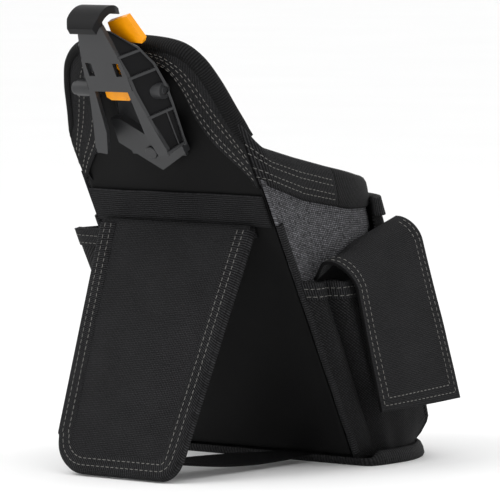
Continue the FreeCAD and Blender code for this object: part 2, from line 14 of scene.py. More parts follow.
import bmesh
import bpy
import numpy as np
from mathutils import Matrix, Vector


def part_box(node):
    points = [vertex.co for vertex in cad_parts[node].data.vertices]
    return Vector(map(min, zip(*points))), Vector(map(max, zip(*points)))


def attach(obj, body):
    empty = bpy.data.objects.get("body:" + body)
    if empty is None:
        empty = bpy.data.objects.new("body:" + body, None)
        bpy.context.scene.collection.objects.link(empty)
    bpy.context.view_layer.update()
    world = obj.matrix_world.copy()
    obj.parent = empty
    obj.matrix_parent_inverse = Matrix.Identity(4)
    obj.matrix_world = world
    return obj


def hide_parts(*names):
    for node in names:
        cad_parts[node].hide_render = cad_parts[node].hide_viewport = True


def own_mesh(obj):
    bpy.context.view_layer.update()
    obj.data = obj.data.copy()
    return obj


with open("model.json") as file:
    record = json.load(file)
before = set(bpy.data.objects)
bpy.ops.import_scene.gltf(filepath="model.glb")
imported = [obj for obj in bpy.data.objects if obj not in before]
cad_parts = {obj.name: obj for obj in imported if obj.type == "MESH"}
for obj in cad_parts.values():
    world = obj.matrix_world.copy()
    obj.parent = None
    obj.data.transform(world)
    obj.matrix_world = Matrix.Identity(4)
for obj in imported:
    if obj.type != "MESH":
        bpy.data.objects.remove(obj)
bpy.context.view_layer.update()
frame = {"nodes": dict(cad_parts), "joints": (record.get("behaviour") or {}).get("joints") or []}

# ---- driving sizes, millimetres ----
LEAN = math.radians(28.0)
SIN, COS, TAN = math.sin(LEAN), math.cos(LEAN), math.tan(LEAN)
FOOT_Z = 6.5  # foot of the back panel above the floor
BACK_Y = 53.0  # where the panel's plane meets the floor
FOOT_Y = BACK_Y + FOOT_Z * TAN
HALF = 68.5  # half width of the back panel
STACK = 6.5  # thickness of the back panel's layers
BODY_R = 72.0  # radius of the body's round front
WALL = 3.5
STRAIGHT = 25.0  # straight side of the body at the floor
MOUTH_SPREAD = 0.267  # growth of that side per millimetre of height
SIDE_SHARE = 0.22  # share of a turn round the body that lies on each side
BASE_R = 81.0
FLOOR_Z = 4.0  # top of the layers under the body
BAND_LOW, BAND_HIGH = 166.0, 188.3
SHOULDER = 226.0  # where the panel's sides end and the tongue starts
TONGUE_TOP = 293.5
BORDER_WIDE = 24.0  # border tape of the tongue


def joint_place(name):
    """A joint's place, in millimetres."""
    return np.array([j["pos_m"] for j in frame["joints"] if j["name"] == name][0]) * 1000


KICK_OPEN = math.radians(22.7)
KICK_HINGE = joint_place("kickstand_hinge")
KICK_TOP_HALF, KICK_FOOT_HALF = 59.5, 48.5
KICK_HALF_THICK = 3.8
KICK_LONG = (KICK_HINGE[2] - KICK_HALF_THICK * math.sin(KICK_OPEN)) / math.cos(KICK_OPEN)
KICK_TAPER = (KICK_TOP_HALF - KICK_FOOT_HALF) / KICK_LONG
KICK_ROUND, KICK_ROUND_RIGHT = 25.0, 13.0  # radii of the foot's corners

FLAP_HINGE = joint_place("flap_hinge")
FLAP_TILT = math.radians(16.6)
FLAP_SIDE = 78.0  # width along the hinge
FLAP_DROP = 87.0  # straight part at the back edge, below the bend
FLAP_SLOPE = 20.0  # how much longer the front edge is
FLAP_START, FLAP_BEND = 1.6, 15.0  # level run from the wall, then the bend's radius
FLAP_ARC = FLAP_BEND * math.pi / 2
FLAP_LONG = FLAP_START + FLAP_ARC + FLAP_DROP


# ---- frames ----
def stack(x, y, z):
    return np.stack(np.broadcast_arrays(*(np.asarray(v, float) for v in (x, y, z))), -1)


def panel_at(x, off, up):
    return stack(x, FOOT_Y + up * SIN + off * COS, FOOT_Z + up * COS - off * SIN)


def wall_at(x, s, z):
    """s is measured from the back panel's plane, negative towards the front."""
    return stack(x, BACK_Y + z * TAN + s, z)


def kick_at(x, out, down):
    y = KICK_HINGE[1] + down * math.sin(KICK_OPEN) + out * math.cos(KICK_OPEN)
    z = KICK_HINGE[2] - down * math.cos(KICK_OPEN) + out * math.sin(KICK_OPEN)
    return stack(KICK_HINGE[0] + x, y, z)


def flap_at(out, along, up):
    y = FLAP_HINGE[1] - along * math.cos(FLAP_TILT) + up * math.sin(FLAP_TILT)
    z = FLAP_HINGE[2] + along * math.sin(FLAP_TILT) + up * math.cos(FLAP_TILT)
    return stack(FLAP_HINGE[0] - out, y, z)


def smooth(t):
    t = np.clip(t, 0, 1)
    return t * t * (3 - 2 * t)


def wander(a, b, seed, size):
    """Gentle uneven waves, the same on every run."""
    rng = np.random.default_rng(seed)
    total = 0
    for k in range(6):
        fa, fb = rng.uniform(0.5, 1.6, 2) / size * 2 * math.pi * (1 if k < 4 else 2.2)
        total = total + np.sin(a * fa * rng.choice([-1, 1]) + b * fb + rng.uniform(0, 6.28)) / (1 + 0.35 * k)
    return total / 3.2


# ---- paths ----
def lengths_along(points):
    steps = np.linalg.norm(np.diff(points, axis=0), axis=1)
    return np.concatenate([[0], np.cumsum(steps)])


def even(points, n):
    """The same line with n points spaced evenly."""
    along = lengths_along(points)
    at = np.linspace(0, along[-1], n)
    return np.stack([np.interp(at, along, points[:, k]) for k in range(points.shape[1])], 1)


def blend(u, start, stop, a, b):
    """From a at start to b at stop, straight."""
    return (stop - u) / (stop - start) * a + (u - start) / (stop - start) * b


def curve_through(points, n):
    """Smooth line through the points, n points spaced evenly."""
    p = np.array(points, float)
    p = np.vstack([2 * p[0] - p[1], p, 2 * p[-1] - p[-2]])
    t = np.concatenate([[0], np.cumsum(np.linalg.norm(np.diff(p, axis=0), axis=1) ** 0.5)])
    out = []
    for i in range(1, len(p) - 2):
        u = np.linspace(t[i], t[i + 1], 24, endpoint=False)[:, None]
        a, b, c = (blend(u, t[k], t[k + 1], p[k], p[k + 1]) for k in (i - 1, i, i + 1))
        early = blend(u, t[i - 1], t[i + 1], a, b)
        late = blend(u, t[i], t[i + 2], b, c)
        out.append(blend(u, t[i], t[i + 1], early, late))
    out.append(p[-2][None])
    return even(np.vstack(out), n)


def pairs(a, b):
    """Every value of a with every value of b, as two grids."""
    return np.meshgrid(a, b, indexing="ij")


def straight_at(z):
    """Length of each straight side at height z; the mouth is longer than the base."""
    return STRAIGHT + MOUTH_SPREAD * np.asarray(z, float)


def round_point(turn, radius, z):
    """(x, s) on the body's round-fronted outline at height z; turn runs from 0 at its left back corner to 1.

    SIDE_SHARE of the turn lies on each side, so that the same turn stays at the same corner at every height.
    """
    turn, radius, z = np.broadcast_arrays(*(np.asarray(v, float) for v in (turn, radius, z)))
    side = np.clip(np.minimum(turn, 1 - turn) / SIDE_SHARE, 0, 1)
    angle = np.clip((turn - SIDE_SHARE) / (1 - 2 * SIDE_SHARE), 0, 1) * math.pi
    return radius * np.cos(angle), -straight_at(z) * side - radius * np.sin(angle) * (side >= 1)


def d_path(radius, n, z):
    """Round-fronted outline at height z, evenly spaced, as (x, s)."""
    return even(np.stack(round_point(np.linspace(0, 1, 400), radius, z), 1), n)


def mirror_list(points, middle):
    """Left half from the right-hand points, the middle point, then the right half."""
    left = [(-x, z) for x, z in points]
    return left + [middle] + [(x, z) for x, z in reversed(points)]


# ---- meshes ----
def unit(vectors):
    return vectors / np.maximum(np.linalg.norm(vectors, axis=-1, keepdims=True), 1e-9)


def normals_of(grid):
    return unit(np.cross(np.gradient(grid, axis=0), np.gradient(grid, axis=1)))


def grid_coords(grid, column=None):
    """Flat cloth coordinates: length along a column, the middle one by default, and along the middle row."""
    nu, nv = grid.shape[:2]
    u = lengths_along(grid[:, nv // 2 if column is None else column])
    return stack(*pairs(u, lengths_along(grid[nu // 2])), 0)


def add_object(name, data):
    thing = bpy.data.objects.new(name, data)
    bpy.context.collection.objects.link(thing)
    return thing


def make_mesh(name, points, faces, cloth, material):
    mesh = bpy.data.meshes.new(name)
    mesh.from_pydata((np.asarray(points) * 0.001).tolist(), [], faces)
    layer = mesh.attributes.new("cloth", "FLOAT_VECTOR", "POINT")
    layer.data.foreach_set("vector", np.asarray(cloth, np.float32).ravel())
    mesh.polygons.foreach_set("use_smooth", [True] * len(mesh.polygons))
    mesh.materials.append(material)
    mesh.update()
    return add_object(name, mesh)


def quads(index):
    a, b = index[:-1, :-1], index[1:, :-1]
    c, d = index[1:, 1:], index[:-1, 1:]
    return np.stack([a, b, c, d], -1).reshape(-1, 4)


def shell_piece(name, grid, thick, material, coords=None, rim=True, facing=(0, 1, 0)):
    """Closed thin cloth: the grid is its outer face, whose middle faces the given way."""
    nu, nv = grid.shape[:2]
    coords = grid_coords(grid) if coords is None else coords
    normal = normals_of(grid)
    if np.dot(normal[nu // 2, nv // 2], facing) < 0:
        grid, coords, normal = grid[::-1], coords[::-1], -normal[::-1]
    levels = [grid, grid - normal * thick]
    if rim:
        # the edges are drawn in a little at both faces, so that a cut edge looks rounded
        inward = np.zeros_like(grid)
        for axis, sign, at in ((0, 1, 0), (0, -1, -1), (1, 1, 0), (1, -1, -1)):
            edge = [slice(None)] * 2
            edge[axis] = at
            inward[tuple(edge)] += sign * unit(np.gradient(grid, axis=axis))[tuple(edge)]
        levels = [grid + inward * thick * 0.28, grid - normal * thick * 0.3,
                  grid - normal * thick * 0.7, grid - normal * thick + inward * thick * 0.28]
    index = np.arange(nu * nv).reshape(nu, nv)
    border = np.concatenate([index[:-1, 0], index[-1, :-1], index[:0:-1, -1], index[0, :0:-1]])
    points, cloth = [levels[0].reshape(-1, 3)], [coords.reshape(-1, 3)]
    faces = [quads(index)]
    ring, total = border, nu * nv

    def join(new):
        faces.append(np.stack([ring, np.roll(ring, -1), np.roll(new, -1), new], -1)[:, ::-1])

    for level in levels[1:-1]:
        points.append(level.reshape(-1, 3)[border])
        cloth.append(cloth[0][border])
        new = total + np.arange(len(border))
        join(new)
        ring = new
        total += len(border)
    points.append(levels[-1].reshape(-1, 3))
    cloth.append(cloth[0] + [0, 0, 1])
    join(border + total)
    faces.append(quads(index + total)[:, ::-1])
    return make_mesh(name, np.vstack(points), np.vstack(faces).tolist(), np.vstack(cloth), material)


def tube_piece(name, grid, material, closed=False, coords=None):
    """Closed solid from sections: grid[i] is one closed section; closed joins the last to the first."""
    nu, nv = grid.shape[:2]
    coords = grid_coords(grid, 0) if coords is None else coords
    index = np.arange(nu * nv).reshape(nu, nv)
    index = np.hstack([index, index[:, :1]])
    if closed:
        index = np.vstack([index, index[:1]])
    faces = quads(index).tolist()
    if not closed:
        faces += [index[0, :-1].tolist(), index[-1, :-1][::-1].tolist()]
    return make_mesh(name, grid.reshape(-1, 3), faces, coords.reshape(-1, 3), material)


def outward(piece):
    """Turns a closed mesh's faces outwards by the sign of its volume."""
    mesh = piece.data
    mesh.calc_loop_triangles()
    co = np.zeros(len(mesh.vertices) * 3)
    mesh.vertices.foreach_get("co", co)
    corners = np.zeros(len(mesh.loop_triangles) * 3, int)
    mesh.loop_triangles.foreach_get("vertices", corners)
    a, b, c = (co.reshape(-1, 3)[corners.reshape(-1, 3)[:, k]] for k in range(3))
    if (a * np.cross(b, c)).sum() < 0:
        mesh.flip_normals()


LEAST_FILL = 0.31  # least area of a sheet, as a share of its flat length times width


def declare_sheet(grid):
    """Works out a cloth sheet's flat width, length and area, measured on its own grid, and keeps none of
    them.
    """
    wide = np.linalg.norm(np.diff(grid, axis=0), axis=-1).sum(0).max() * 0.001
    long = np.linalg.norm(np.diff(grid, axis=1), axis=-1).sum(1).max() * 0.001
    corner = grid[:-1, :-1]
    cross = np.cross(grid[1:, :-1] - corner, grid[:-1, 1:] - corner)
    area = min(np.linalg.norm(cross, axis=-1).sum() * 1e-6, wide * long)
    area = max(area, LEAST_FILL * wide * long)


def finish_cloth(piece, body, nodes, slot_name, grid=None, pad=None):
    """Rides and replaces a cloth piece, and works out a sheet's size when it is not padded; slot_name is not
    used.
    """
    outward(piece)
    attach(piece, body)
    if nodes:
        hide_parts(*nodes)
    if pad is not None:
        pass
    elif grid is not None:
        declare_sheet(grid)


def add_shell(name, node, slot_name, grid, thick, material, coords=None, facing=(0, 1, 0), body="pouch"):
    """A sheet of thin cloth in place of a CAD piece."""
    piece = shell_piece(name, grid, thick, material, coords, facing=facing)
    finish_cloth(piece, body, [node], slot_name, grid)
    return piece


def add_tube(name, nodes, slot_name, rows, material, pad, closed=False, coords=None):
    """A padded piece of the pouch from rows that run along it, one for each point of its section."""
    piece = tube_piece(name, np.stack(rows, 1), material, closed, coords)
    finish_cloth(piece, "pouch", nodes, slot_name, pad=pad)


# ---- materials ----
def node_for(kind):
    return lambda a, b: a.graph.math(kind, a, b)


class Value:
    """A number worked out by a material's nodes, so that sums can be written as sums."""
    __add__, __sub__, __mul__ = node_for("ADD"), node_for("SUBTRACT"), node_for("MULTIPLY")
    __truediv__, __pow__ = node_for("DIVIDE"), node_for("POWER")

    def __init__(self, graph, socket):
        self.graph, self.socket = graph, socket

    def __rsub__(self, other):
        return self.graph.math("SUBTRACT", other, self)


class Graph:
    """A material's nodes, built with short calls."""

    def __init__(self, name):
        self.material = bpy.data.materials.new(name)
        self.material.use_nodes = True
        self.tree = self.material.node_tree
        self.shader = self.tree.nodes["Principled BSDF"]

    def put(self, values, node):
        for name, value in values.items():
            if isinstance(value, Value):
                self.tree.links.new(value.socket, node.inputs[name])
            else:
                node.inputs[name].default_value = value

    def add(self, kind, values, output=0, **settings):
        """A new node with values or links in its inputs; returns one of its outputs."""
        node = self.tree.nodes.new("ShaderNode" + kind)
        for name, value in settings.items():
            setattr(node, name, value)
        self.put(values, node)
        return Value(self, node.outputs[output])

    def finish(self, colour, rough, **more):
        """Sets the shader's inputs and returns the material."""
        self.put({"Base Color": colour, "Roughness": rough}, self.shader)
        self.put({name.replace("_", " "): value for name, value in more.items()}, self.shader)
        return self.material

    def math(self, kind, *values):
        return self.add("Math", dict(enumerate(values)), operation=kind)

    def mix(self, share, a, b):
        a, b = (v if isinstance(v, Value) else (*v, 1) for v in (a, b))
        return self.add("Mix", {0: share, 6: a, 7: b}, 2, data_type="RGBA")

    def noise(self, vector, scale, detail, rough=0.6):
        return self.add("TexNoise", {"Vector": vector, "Scale": scale, "Detail": detail, "Roughness": rough})

    def vector(self, x, y, z):
        return self.add("CombineXYZ", {0: x, 1: y, 2: z})

    def cloth(self):
        """The cloth's own coordinates along and across, and both as one vector."""
        both = self.add("Attribute", {}, "Vector", attribute_type="GEOMETRY", attribute_name="cloth")
        return self.add("SeparateXYZ", {0: both}), self.add("SeparateXYZ", {0: both}, 1), both

    def place(self):
        return self.add("TexCoord", {}, "Object")

    def bump(self, height, distance):
        normal = self.add("Bump", {"Strength": 1.0, "Distance": distance, "Height": height})
        self.put({"Normal": normal}, self.shader)

    def ramp(self, value, low, high):
        """value moved from low..high to 0..1."""
        return self.add("MapRange", {0: value, 1: low, 2: high})


def waves(g, value, pitch):
    """Rounded ridges along a coordinate, 0 in the valleys and 1 on the crests."""
    return g.math("ABSOLUTE", g.math("SINE", value * (math.pi / pitch)))


def plain_weave(g, u, v, pitch):
    """Height of a plain weave from 0 to 1, and 1 where the warp is on top."""
    across, along = (g.math("SINE", value * (math.pi / pitch)) for value in (u, v))
    over = g.math("GREATER_THAN", across * along, 0.0)
    a, b = (g.math("ABSOLUTE", value) for value in (across, along))
    warp, weft = a * b ** 0.35, b * a ** 0.35
    return warp * over + weft * (1.0 - over), over


def weave_height(g, kind, u, v, pitch):
    """Height of a weave from 0 to 1."""
    if kind == "rib":
        return waves(g, u, pitch) * 0.8 + waves(g, v, pitch * 0.6) * 0.2
    if kind == "rows":
        return waves(g, v, pitch) * 0.7 + waves(g, u, pitch * 0.55) * 0.3
    if kind == "twill":
        return waves(g, u + v, pitch) * 0.7 + waves(g, u - v, pitch * 0.9) * 0.3
    return plain_weave(g, u, v, pitch)[0]


RUBBED = 0.09  # how much lighter the rubbed places of a cloth are


def fabric(name, kind, pitch, dark, light, depth, bite):
    """Woven cloth: threads with depth whose valleys are painted dark as shade, uneven tone, and slightly
    lighter rubbed places.
    """
    g = Graph(name)
    u, v, both = g.cloth()
    height = weave_height(g, kind, u, v, pitch)
    speck = g.noise(both, 1.6 / pitch, 2.0)
    cloud = g.noise(both, 0.035, 4.0)
    # the tone follows the weave's height, so the valleys between threads are painted dark as shade
    tone = height ** bite * g.ramp(speck, 0.25, 0.75) + g.ramp(cloud, 0.35, 0.7) * RUBBED
    g.bump(height + speck * 0.5, depth * 0.001)
    return g.finish(g.mix(tone, dark, light), g.ramp(speck - height * 0.3, -1.6, 1.0), Specular_IOR_Level=0.1)


def heather(name, pitch):
    """Coarse weave of mixed light and dark grey threads, with painted shade in the valleys between them."""
    g = Graph(name)
    u, v, _ = g.cloth()
    height, over = plain_weave(g, u, v, pitch)
    warp = g.noise(g.vector(u * 0.75, v * 0.16, 0.0), 1.0, 2.0)
    weft = g.noise(g.vector(u * 0.16, v * 0.75, 3.0), 1.0, 2.0)
    streak = warp * over + weft * (1.0 - over)
    square = g.vector(*(g.math("FLOOR", value / pitch) for value in (u, v)), 0.0)
    chance = g.add("TexWhiteNoise", {"Vector": square}, noise_dimensions="3D")
    # the mixed threads are the cloth's own; the weave's height darkens the valleys as painted shade
    tone = (g.ramp(streak, 0.3, 0.7) * 0.8 + chance * 0.22) * g.ramp(height, 0.15, 0.95)
    g.bump(height, 0.0005)
    colour = g.mix(tone, (0.006, 0.006, 0.007), (0.26, 0.26, 0.278))
    return g.finish(colour, 0.85, Sheen_Weight=0.03, Specular_IOR_Level=0.1)


def coated(name, base):
    """Smooth coated cloth with a fine grain and soft wrinkles."""
    g = Graph(name)
    both = g.cloth()[2]
    grain = g.noise(both, 1.4, 4.0, 0.7)
    cloud = g.noise(both, 0.03, 3.0)
    colour = g.mix(g.ramp(grain * 0.4 + cloud, 0.4, 1.1), base, tuple(c * 1.9 for c in base))
    g.bump(grain + cloud * 2.0, 0.00015)
    return g.finish(colour, g.ramp(grain, -1.2, 1.3), Specular_IOR_Level=0.12)


def plastic(name, base, rough, grain, shine):
    """Moulded plastic with spark-eroded grain, faint flow marks and slight scuffs."""
    g = Graph(name)
    place = g.place()
    fine = g.noise(place, 2600.0, 2.0)
    broad = g.noise(place, 60.0, 4.0)
    scuff = g.ramp(g.noise(place, 420.0, 6.0, 0.75), 0.62, 0.78)
    tint = g.mix(g.ramp(broad, 0.3, 0.7), tuple(c * 0.86 for c in base), tuple(c * 1.12 for c in base))
    colour = g.mix(scuff * 0.35, tint, tuple(min(1.0, c * 1.6 + 0.002) for c in base))
    g.bump(fine + broad * 0.6, grain)
    return g.finish(colour, g.ramp(broad, 0.5 - rough * 2.2, 1.9), Specular_IOR_Level=shine)


def steel(name):
    g = Graph(name)
    brush = g.noise(g.place(), 900.0, 3.0)
    g.bump(brush, 0.00002)
    colour = g.mix(brush, (0.32, 0.32, 0.33), (0.5, 0.5, 0.51))
    return g.finish(colour, g.ramp(brush, -0.6, 2.2), Metallic=1.0)


def thread(name):
    g = Graph(name)
    u, v, _ = g.cloth()
    ply = waves(g, u + v * 1.2, 0.55)
    g.bump(ply, 0.0001)
    # the ply's grooves are painted darker as shade
    return g.finish(g.mix(ply, (0.07, 0.068, 0.062), (0.24, 0.235, 0.22)), 0.7)


def floor_paint(name):
    g = Graph(name)
    return g.finish(g.mix(g.noise(g.place(), 3.0, 2.0), (0.90, 0.90, 0.90), (0.93, 0.93, 0.93)), 0.9)


# key, name, weave, pitch, grey and blue of the valleys and of the crests, depth, bite; the dark valleys are
# painted shade
WOVEN = [
    ("weave", "black_basket_weave", "plain", 1.15, (0.0004, 0.0005), (0.051, 0.054), 0.5, 1.0),
    ("twill", "black_twill", "twill", 2.3, (0.0002, 0.0002), (0.044, 0.046), 0.6, 2.6),
    ("rim", "black_fine_twill", "twill", 1.7, (0.0004, 0.0005), (0.036, 0.037), 0.4, 2.2),
    ("tape", "ribbed_tape", "rib", 1.55, (0.0003, 0.0004), (0.056, 0.059), 0.6, 2.4),
    ("edge", "edge_binding", "rib", 1.55, (0.0003, 0.0004), (0.022, 0.023), 0.4, 1.8),
    ("ribs", "base_ribs", "rib", 2.2, (0.0003, 0.0004), (0.045, 0.047), 0.8, 1.0),
    ("webbing", "webbing_rows", "rows", 1.45, (0.0008, 0.0009), (0.044, 0.047), 0.5, 2.2),
    ("strap", "strap_rows", "rows", 1.45, (0.0006, 0.0007), (0.010, 0.011), 0.4, 1.0),
    ("lining", "nylon_lining", "plain", 0.6, (0.002, 0.0025), (0.020, 0.021), 0.15, 1.0),
    ("hook", "hook_tape", "plain", 1.6, (0.001, 0.001), (0.012, 0.012), 0.7, 1.0),
]
# key, name, colour, roughness, depth of the grain in metres, shine
MOULDED = [
    ("clip", "clip_plastic", (0.027, 0.0275, 0.029), 0.42, 0.00006, 0.35),
    ("cap", "cap_plastic", (0.007, 0.007, 0.0075), 0.6, 0.00006, 0.12),
    # the clip plastic made darker for the sunk faces of the lever's side walls: painted shade in the recess
    ("shade", "clip_recess_painted_shade", (0.006, 0.006, 0.0065), 0.6, 0.00006, 0.1),
    ("orange", "orange_plastic", (0.88, 0.32, 0.0), 0.3, 0.00002, 0.3),
    ("board", "board_plastic", (0.02, 0.02, 0.02), 0.42, 0.00006, 0.35),
]
M = {
    "coated": coated("coated_panel", (0.0022, 0.0022, 0.0023)),
    "heather": heather("heather_weave", 1.35),
    "steel": steel("satin_steel"),
    "thread": thread("light_thread"),
}
for key, name, weave, pitch, dark, light, depth, bite in WOVEN:
    M[key] = fabric(name, weave, pitch, (dark[0], *dark), (light[0], *light), depth, bite)
for key, name, *look in MOULDED:
    M[key] = plastic(name, *look)


# ---- stitches ----
STITCH_LONG, STITCH_GAP, STITCH_WIDE = 2.6, 1.2, 0.52


def capsule():
    """Unit stitch: six sections along x from -0.5 to 0.5, sunk at its ends."""
    sections = [(-0.5, 0.25, -0.55), (-0.42, 0.75, -0.05), (-0.2, 1.0, 0.35)]
    sections += [(-x, radius, lift) for x, radius, lift in sections[::-1]]
    angle = np.linspace(0, 2 * math.pi, 7)[:-1]
    across, up = np.cos(angle), 0.8 * np.sin(angle)
    points = np.vstack([stack(x, radius * across, lift + radius * up) for x, radius, lift in sections])
    index = np.arange(36).reshape(6, 6)
    return points, quads(np.hstack([index, index[:, :1]]))


def stitch_places(surface, line):
    """Stitch centres, directions and normals along a line drawn in a surface's own coordinates."""
    line = np.array(line, float)
    along = lengths_along(line)
    t = np.linspace(0, along[-1], max(8, int(along[-1] / 0.5)))
    a, b = (np.interp(t, along, line[:, k]) for k in (0, 1))
    path = surface(a, b)
    run = lengths_along(path)
    count = max(1, int(run[-1] / (STITCH_LONG + STITCH_GAP)))
    centre = (np.arange(count) + 0.5) * run[-1] / count

    def at(r):
        r = np.clip(r, 0, run[-1])
        return np.stack([np.interp(r, run, path[:, k]) for k in range(3)], 1)

    ahead = unit(at(centre + 0.8) - at(centre - 0.8))
    ta, tb = np.interp(centre, run, a), np.interp(centre, run, b)
    eps = 0.25
    pa = surface(ta + eps, tb) - surface(ta - eps, tb)
    pb = surface(ta, tb + eps) - surface(ta, tb - eps)
    return at(centre), ahead, unit(np.cross(pa, pb))


def stitches(name, body, rows, seed=1):
    """One mesh of all the stitches of the rows: (surface, line, side); side turns the normal."""
    shape, faces = capsule()
    rng = np.random.default_rng(seed)
    points = []
    for surface, line, side in rows:
        mid, ahead, normal = stitch_places(surface, line)
        normal = normal * side
        across = np.cross(normal, ahead)
        long = STITCH_LONG * rng.uniform(0.9, 1.06, len(mid))
        slant = rng.normal(0, 0.05, len(mid))
        ahead = ahead + across * slant[:, None]
        points.append(mid[:, None] + shape[:, :1] * ahead[:, None] * long[:, None, None]
                      + shape[:, 1:2] * across[:, None] * STITCH_WIDE / 2
                      + shape[:, 2:] * normal[:, None] * STITCH_WIDE / 2)
    points = np.concatenate(points)
    count = len(points)
    faces = faces + np.arange(count)[:, None, None] * len(shape)
    cloth = np.tile(shape * [STITCH_LONG, 0.5, 0.5], (count, 1))
    piece = make_mesh(name, points.reshape(-1, 3), faces.reshape(-1, 4).tolist(), cloth, M["thread"])
    remesh(piece.data, close_ends)
    outward(piece)
    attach(piece, body)


def close_ends(bm):
    bmesh.ops.holes_fill(bm, edges=[e for e in bm.edges if len(e.link_faces) == 1], sides=8)


def merge_flats(bm):
    bmesh.ops.remove_doubles(bm, verts=bm.verts, dist=2e-6)
    bmesh.ops.dissolve_limit(bm, angle_limit=math.radians(2.0), verts=bm.verts, edges=bm.edges)


def remesh(mesh, change):
    """Changes a mesh and shades all its faces smooth."""
    bm = bmesh.new()
    bm.from_mesh(mesh)
    change(bm)
    for face in bm.faces:
        face.smooth = True
    bm.to_mesh(mesh)
    bm.free()


# ---- camera, floor and light ----
def look_at(thing, target):
    direction = Vector(target) - thing.location
    thing.rotation_euler = direction.to_track_quat("-Z", "Y").to_euler()


CAMERA_PLACE = (-1.9935, 2.6044, 0.3700)
CAMERA_AIM = (0.0115, 0.056456, 0.1308)
CAMERA_LENS = 371.6
WORLD_LIGHT = 1.07
FLOOR_HALF = 20.0


def make_camera():
    data = bpy.data.cameras.new("camera")
    data.lens = CAMERA_LENS
    data.sensor_width = 36.0
    data.clip_end = 100.0
    camera = add_object("camera", data)
    camera.location = CAMERA_PLACE
    look_at(camera, CAMERA_AIM)
    bpy.context.scene.camera = camera


def area_light(name, place, target, size, watts):
    data = bpy.data.lights.new(name, "AREA")
    data.size = size
    data.energy = watts
    light = add_object(name, data)
    light.location = place
    look_at(light, target)


def make_studio():
    world = bpy.data.worlds.new("studio")
    bpy.context.scene.world = world
    world.use_nodes = True
    back = world.node_tree.nodes["Background"]
    back.inputs[0].default_value = (1, 1, 1, 1)
    back.inputs[1].default_value = WORLD_LIGHT
    mesh = bpy.data.meshes.new("floor")
    corners = [(x * FLOOR_HALF, y * FLOOR_HALF, 0) for x, y in ((-1, -1), (1, -1), (1, 1), (-1, 1))]
    mesh.from_pydata(corners, [], [(0, 1, 2, 3)])
    mesh.materials.append(floor_paint("pale_floor"))
    add_object("floor", mesh)
    middle = (0.0, 0.08, 0.14)
    area_light("key_light", (0.55, 1.35, 1.45), middle, 0.9, 11)
    area_light("top_light", (-0.3, 0.0, 1.9), middle, 1.4, 3)
    bpy.context.scene.view_settings.view_transform = "Standard"


# ---- back panel and tongue ----
# (half width, up) from the shoulder to the top: outer edge of the tongue, and inner edge of its border tape
TONGUE_SIDE = [(68.5, 226), (63.5, 242), (57, 265), (50, 279.5), (38.5, 289)]
BORDER_INNER = [(68.5, 193), (61, 204), (46, 222), (37.5, 240), (33, 262), (25, 276)]
ARCH_STEPS = 160
ARCH, INNER_ARCH = (curve_through(mirror_list(side, (0, top)), ARCH_STEPS + 1)
                    for side, top in ((TONGUE_SIDE, TONGUE_TOP), (BORDER_INNER, 278.5)))


def panel_wave(x, up):
    """Soft unevenness of the back panel, none at its sewn edges."""
    edge = smooth((HALF - np.abs(x)) / 18) * smooth(up / 14)
    return edge * 0.9 * wander(x, up, 4, 150)


def panel_rows(off, wavy):
    """The whole panel with its tongue, as rows from foot to top, and their flat coordinates."""
    side = ARCH[1:ARCH_STEPS // 2 + 1]
    side = side[side[:, 1] > SHOULDER + 0.5]
    ups = np.concatenate([np.linspace(0, SHOULDER, 60), side[:, 1]])
    halves = np.concatenate([np.full(60, HALF), -side[:, 0]])
    x = np.linspace(-1, 1, 49) * halves[:, None]
    up = np.repeat(ups[:, None], 49, 1)
    return panel_at(x, off + (panel_wave(x, up) if wavy else 0), up), stack(x, up, 0)


def border_at(along, across):
    """Border tape of the tongue: along counts the arch's steps, across runs from the outer edge inwards."""
    i = np.clip(np.asarray(along, float), 0, ARCH_STEPS)
    t = np.asarray(across, float) / BORDER_WIDE
    steps = np.arange(ARCH_STEPS + 1)
    outer, inner = ([np.interp(i, steps, arch[:, k]) for k in (0, 1)] for arch in (ARCH, INNER_ARCH))
    x, up = (a + (b - a) * t for a, b in zip(outer, inner))
    pad = 0.5 * np.sin(np.clip(t, 0, 1) * math.pi) ** 0.6
    return panel_at(x, 1.6 + pad + panel_wave(x, up), up)


def band_at(x, up):
    crown = 0.5 * np.sin(np.clip((up - BAND_LOW) / (BAND_HIGH - BAND_LOW), 0, 1) * math.pi) ** 0.5
    return panel_at(x, 2.2 + crown + panel_wave(x, up) + 0.25 * wander(x, up, 9, 60), up)


def make_tongue_binding(run):
    """Tape folded over the tongue's edge, tucked in at both ends."""
    half = (STACK + 4.2) / 2
    angle = np.linspace(0.5 * math.pi, -0.5 * math.pi, 9)
    section = [(-3.5, half), *[(2.4 * math.cos(a), half * math.sin(a)) for a in angle], (-3.5, -half)]
    tangent = unit(np.gradient(ARCH, axis=0))
    tuck = 0.2 + 0.8 * smooth(np.minimum(run, run[-1] - run) / 12)
    rows = []
    for reach, off in section:
        x = ARCH[:, 0] - tangent[:, 1] * reach * tuck
        up = ARCH[:, 1] + tangent[:, 0] * reach * tuck
        rows.append(panel_at(x, 2.2 - half + off, up))
    add_tube("tongue_edge_binding", ["tongue_binding"], "binding_tape", rows, M["edge"], 0.5)


def make_back():
    for name, node, slot_name, off, material, wavy in (
            ("back_panel_skin", "back_panel", "panel_fabric", 0.0, M["coated"], True),
            ("back_lining_skin", "back_lining", "lining_fabric", 1.8 - STACK, M["lining"], False)):
        grid, coords = panel_rows(off, wavy)
        add_shell(name, node, slot_name, grid, 1.8, material, coords)

    along, across = pairs(np.arange(ARCH_STEPS + 1), np.linspace(0, BORDER_WIDE, 13))
    run = lengths_along(ARCH)
    add_shell("tongue_border_tape", "tongue_border", "binding_tape", border_at(along, across), 1.5,
              M["tape"], stack(run[along], across, 0))
    rows = [(border_at, [(2, v), (ARCH_STEPS - 2, v)], 1) for v in (9.5, 12.6, 18.2, 21.3)]
    stitches("tongue_stitches", "pouch", rows)
    make_tongue_binding(run)
    grid = band_at(*pairs(np.linspace(-HALF, HALF, 60), np.linspace(BAND_LOW, BAND_HIGH, 12)))
    add_shell("waist_webbing", "waist_band", "webbing", grid, 1.8, M["webbing"])


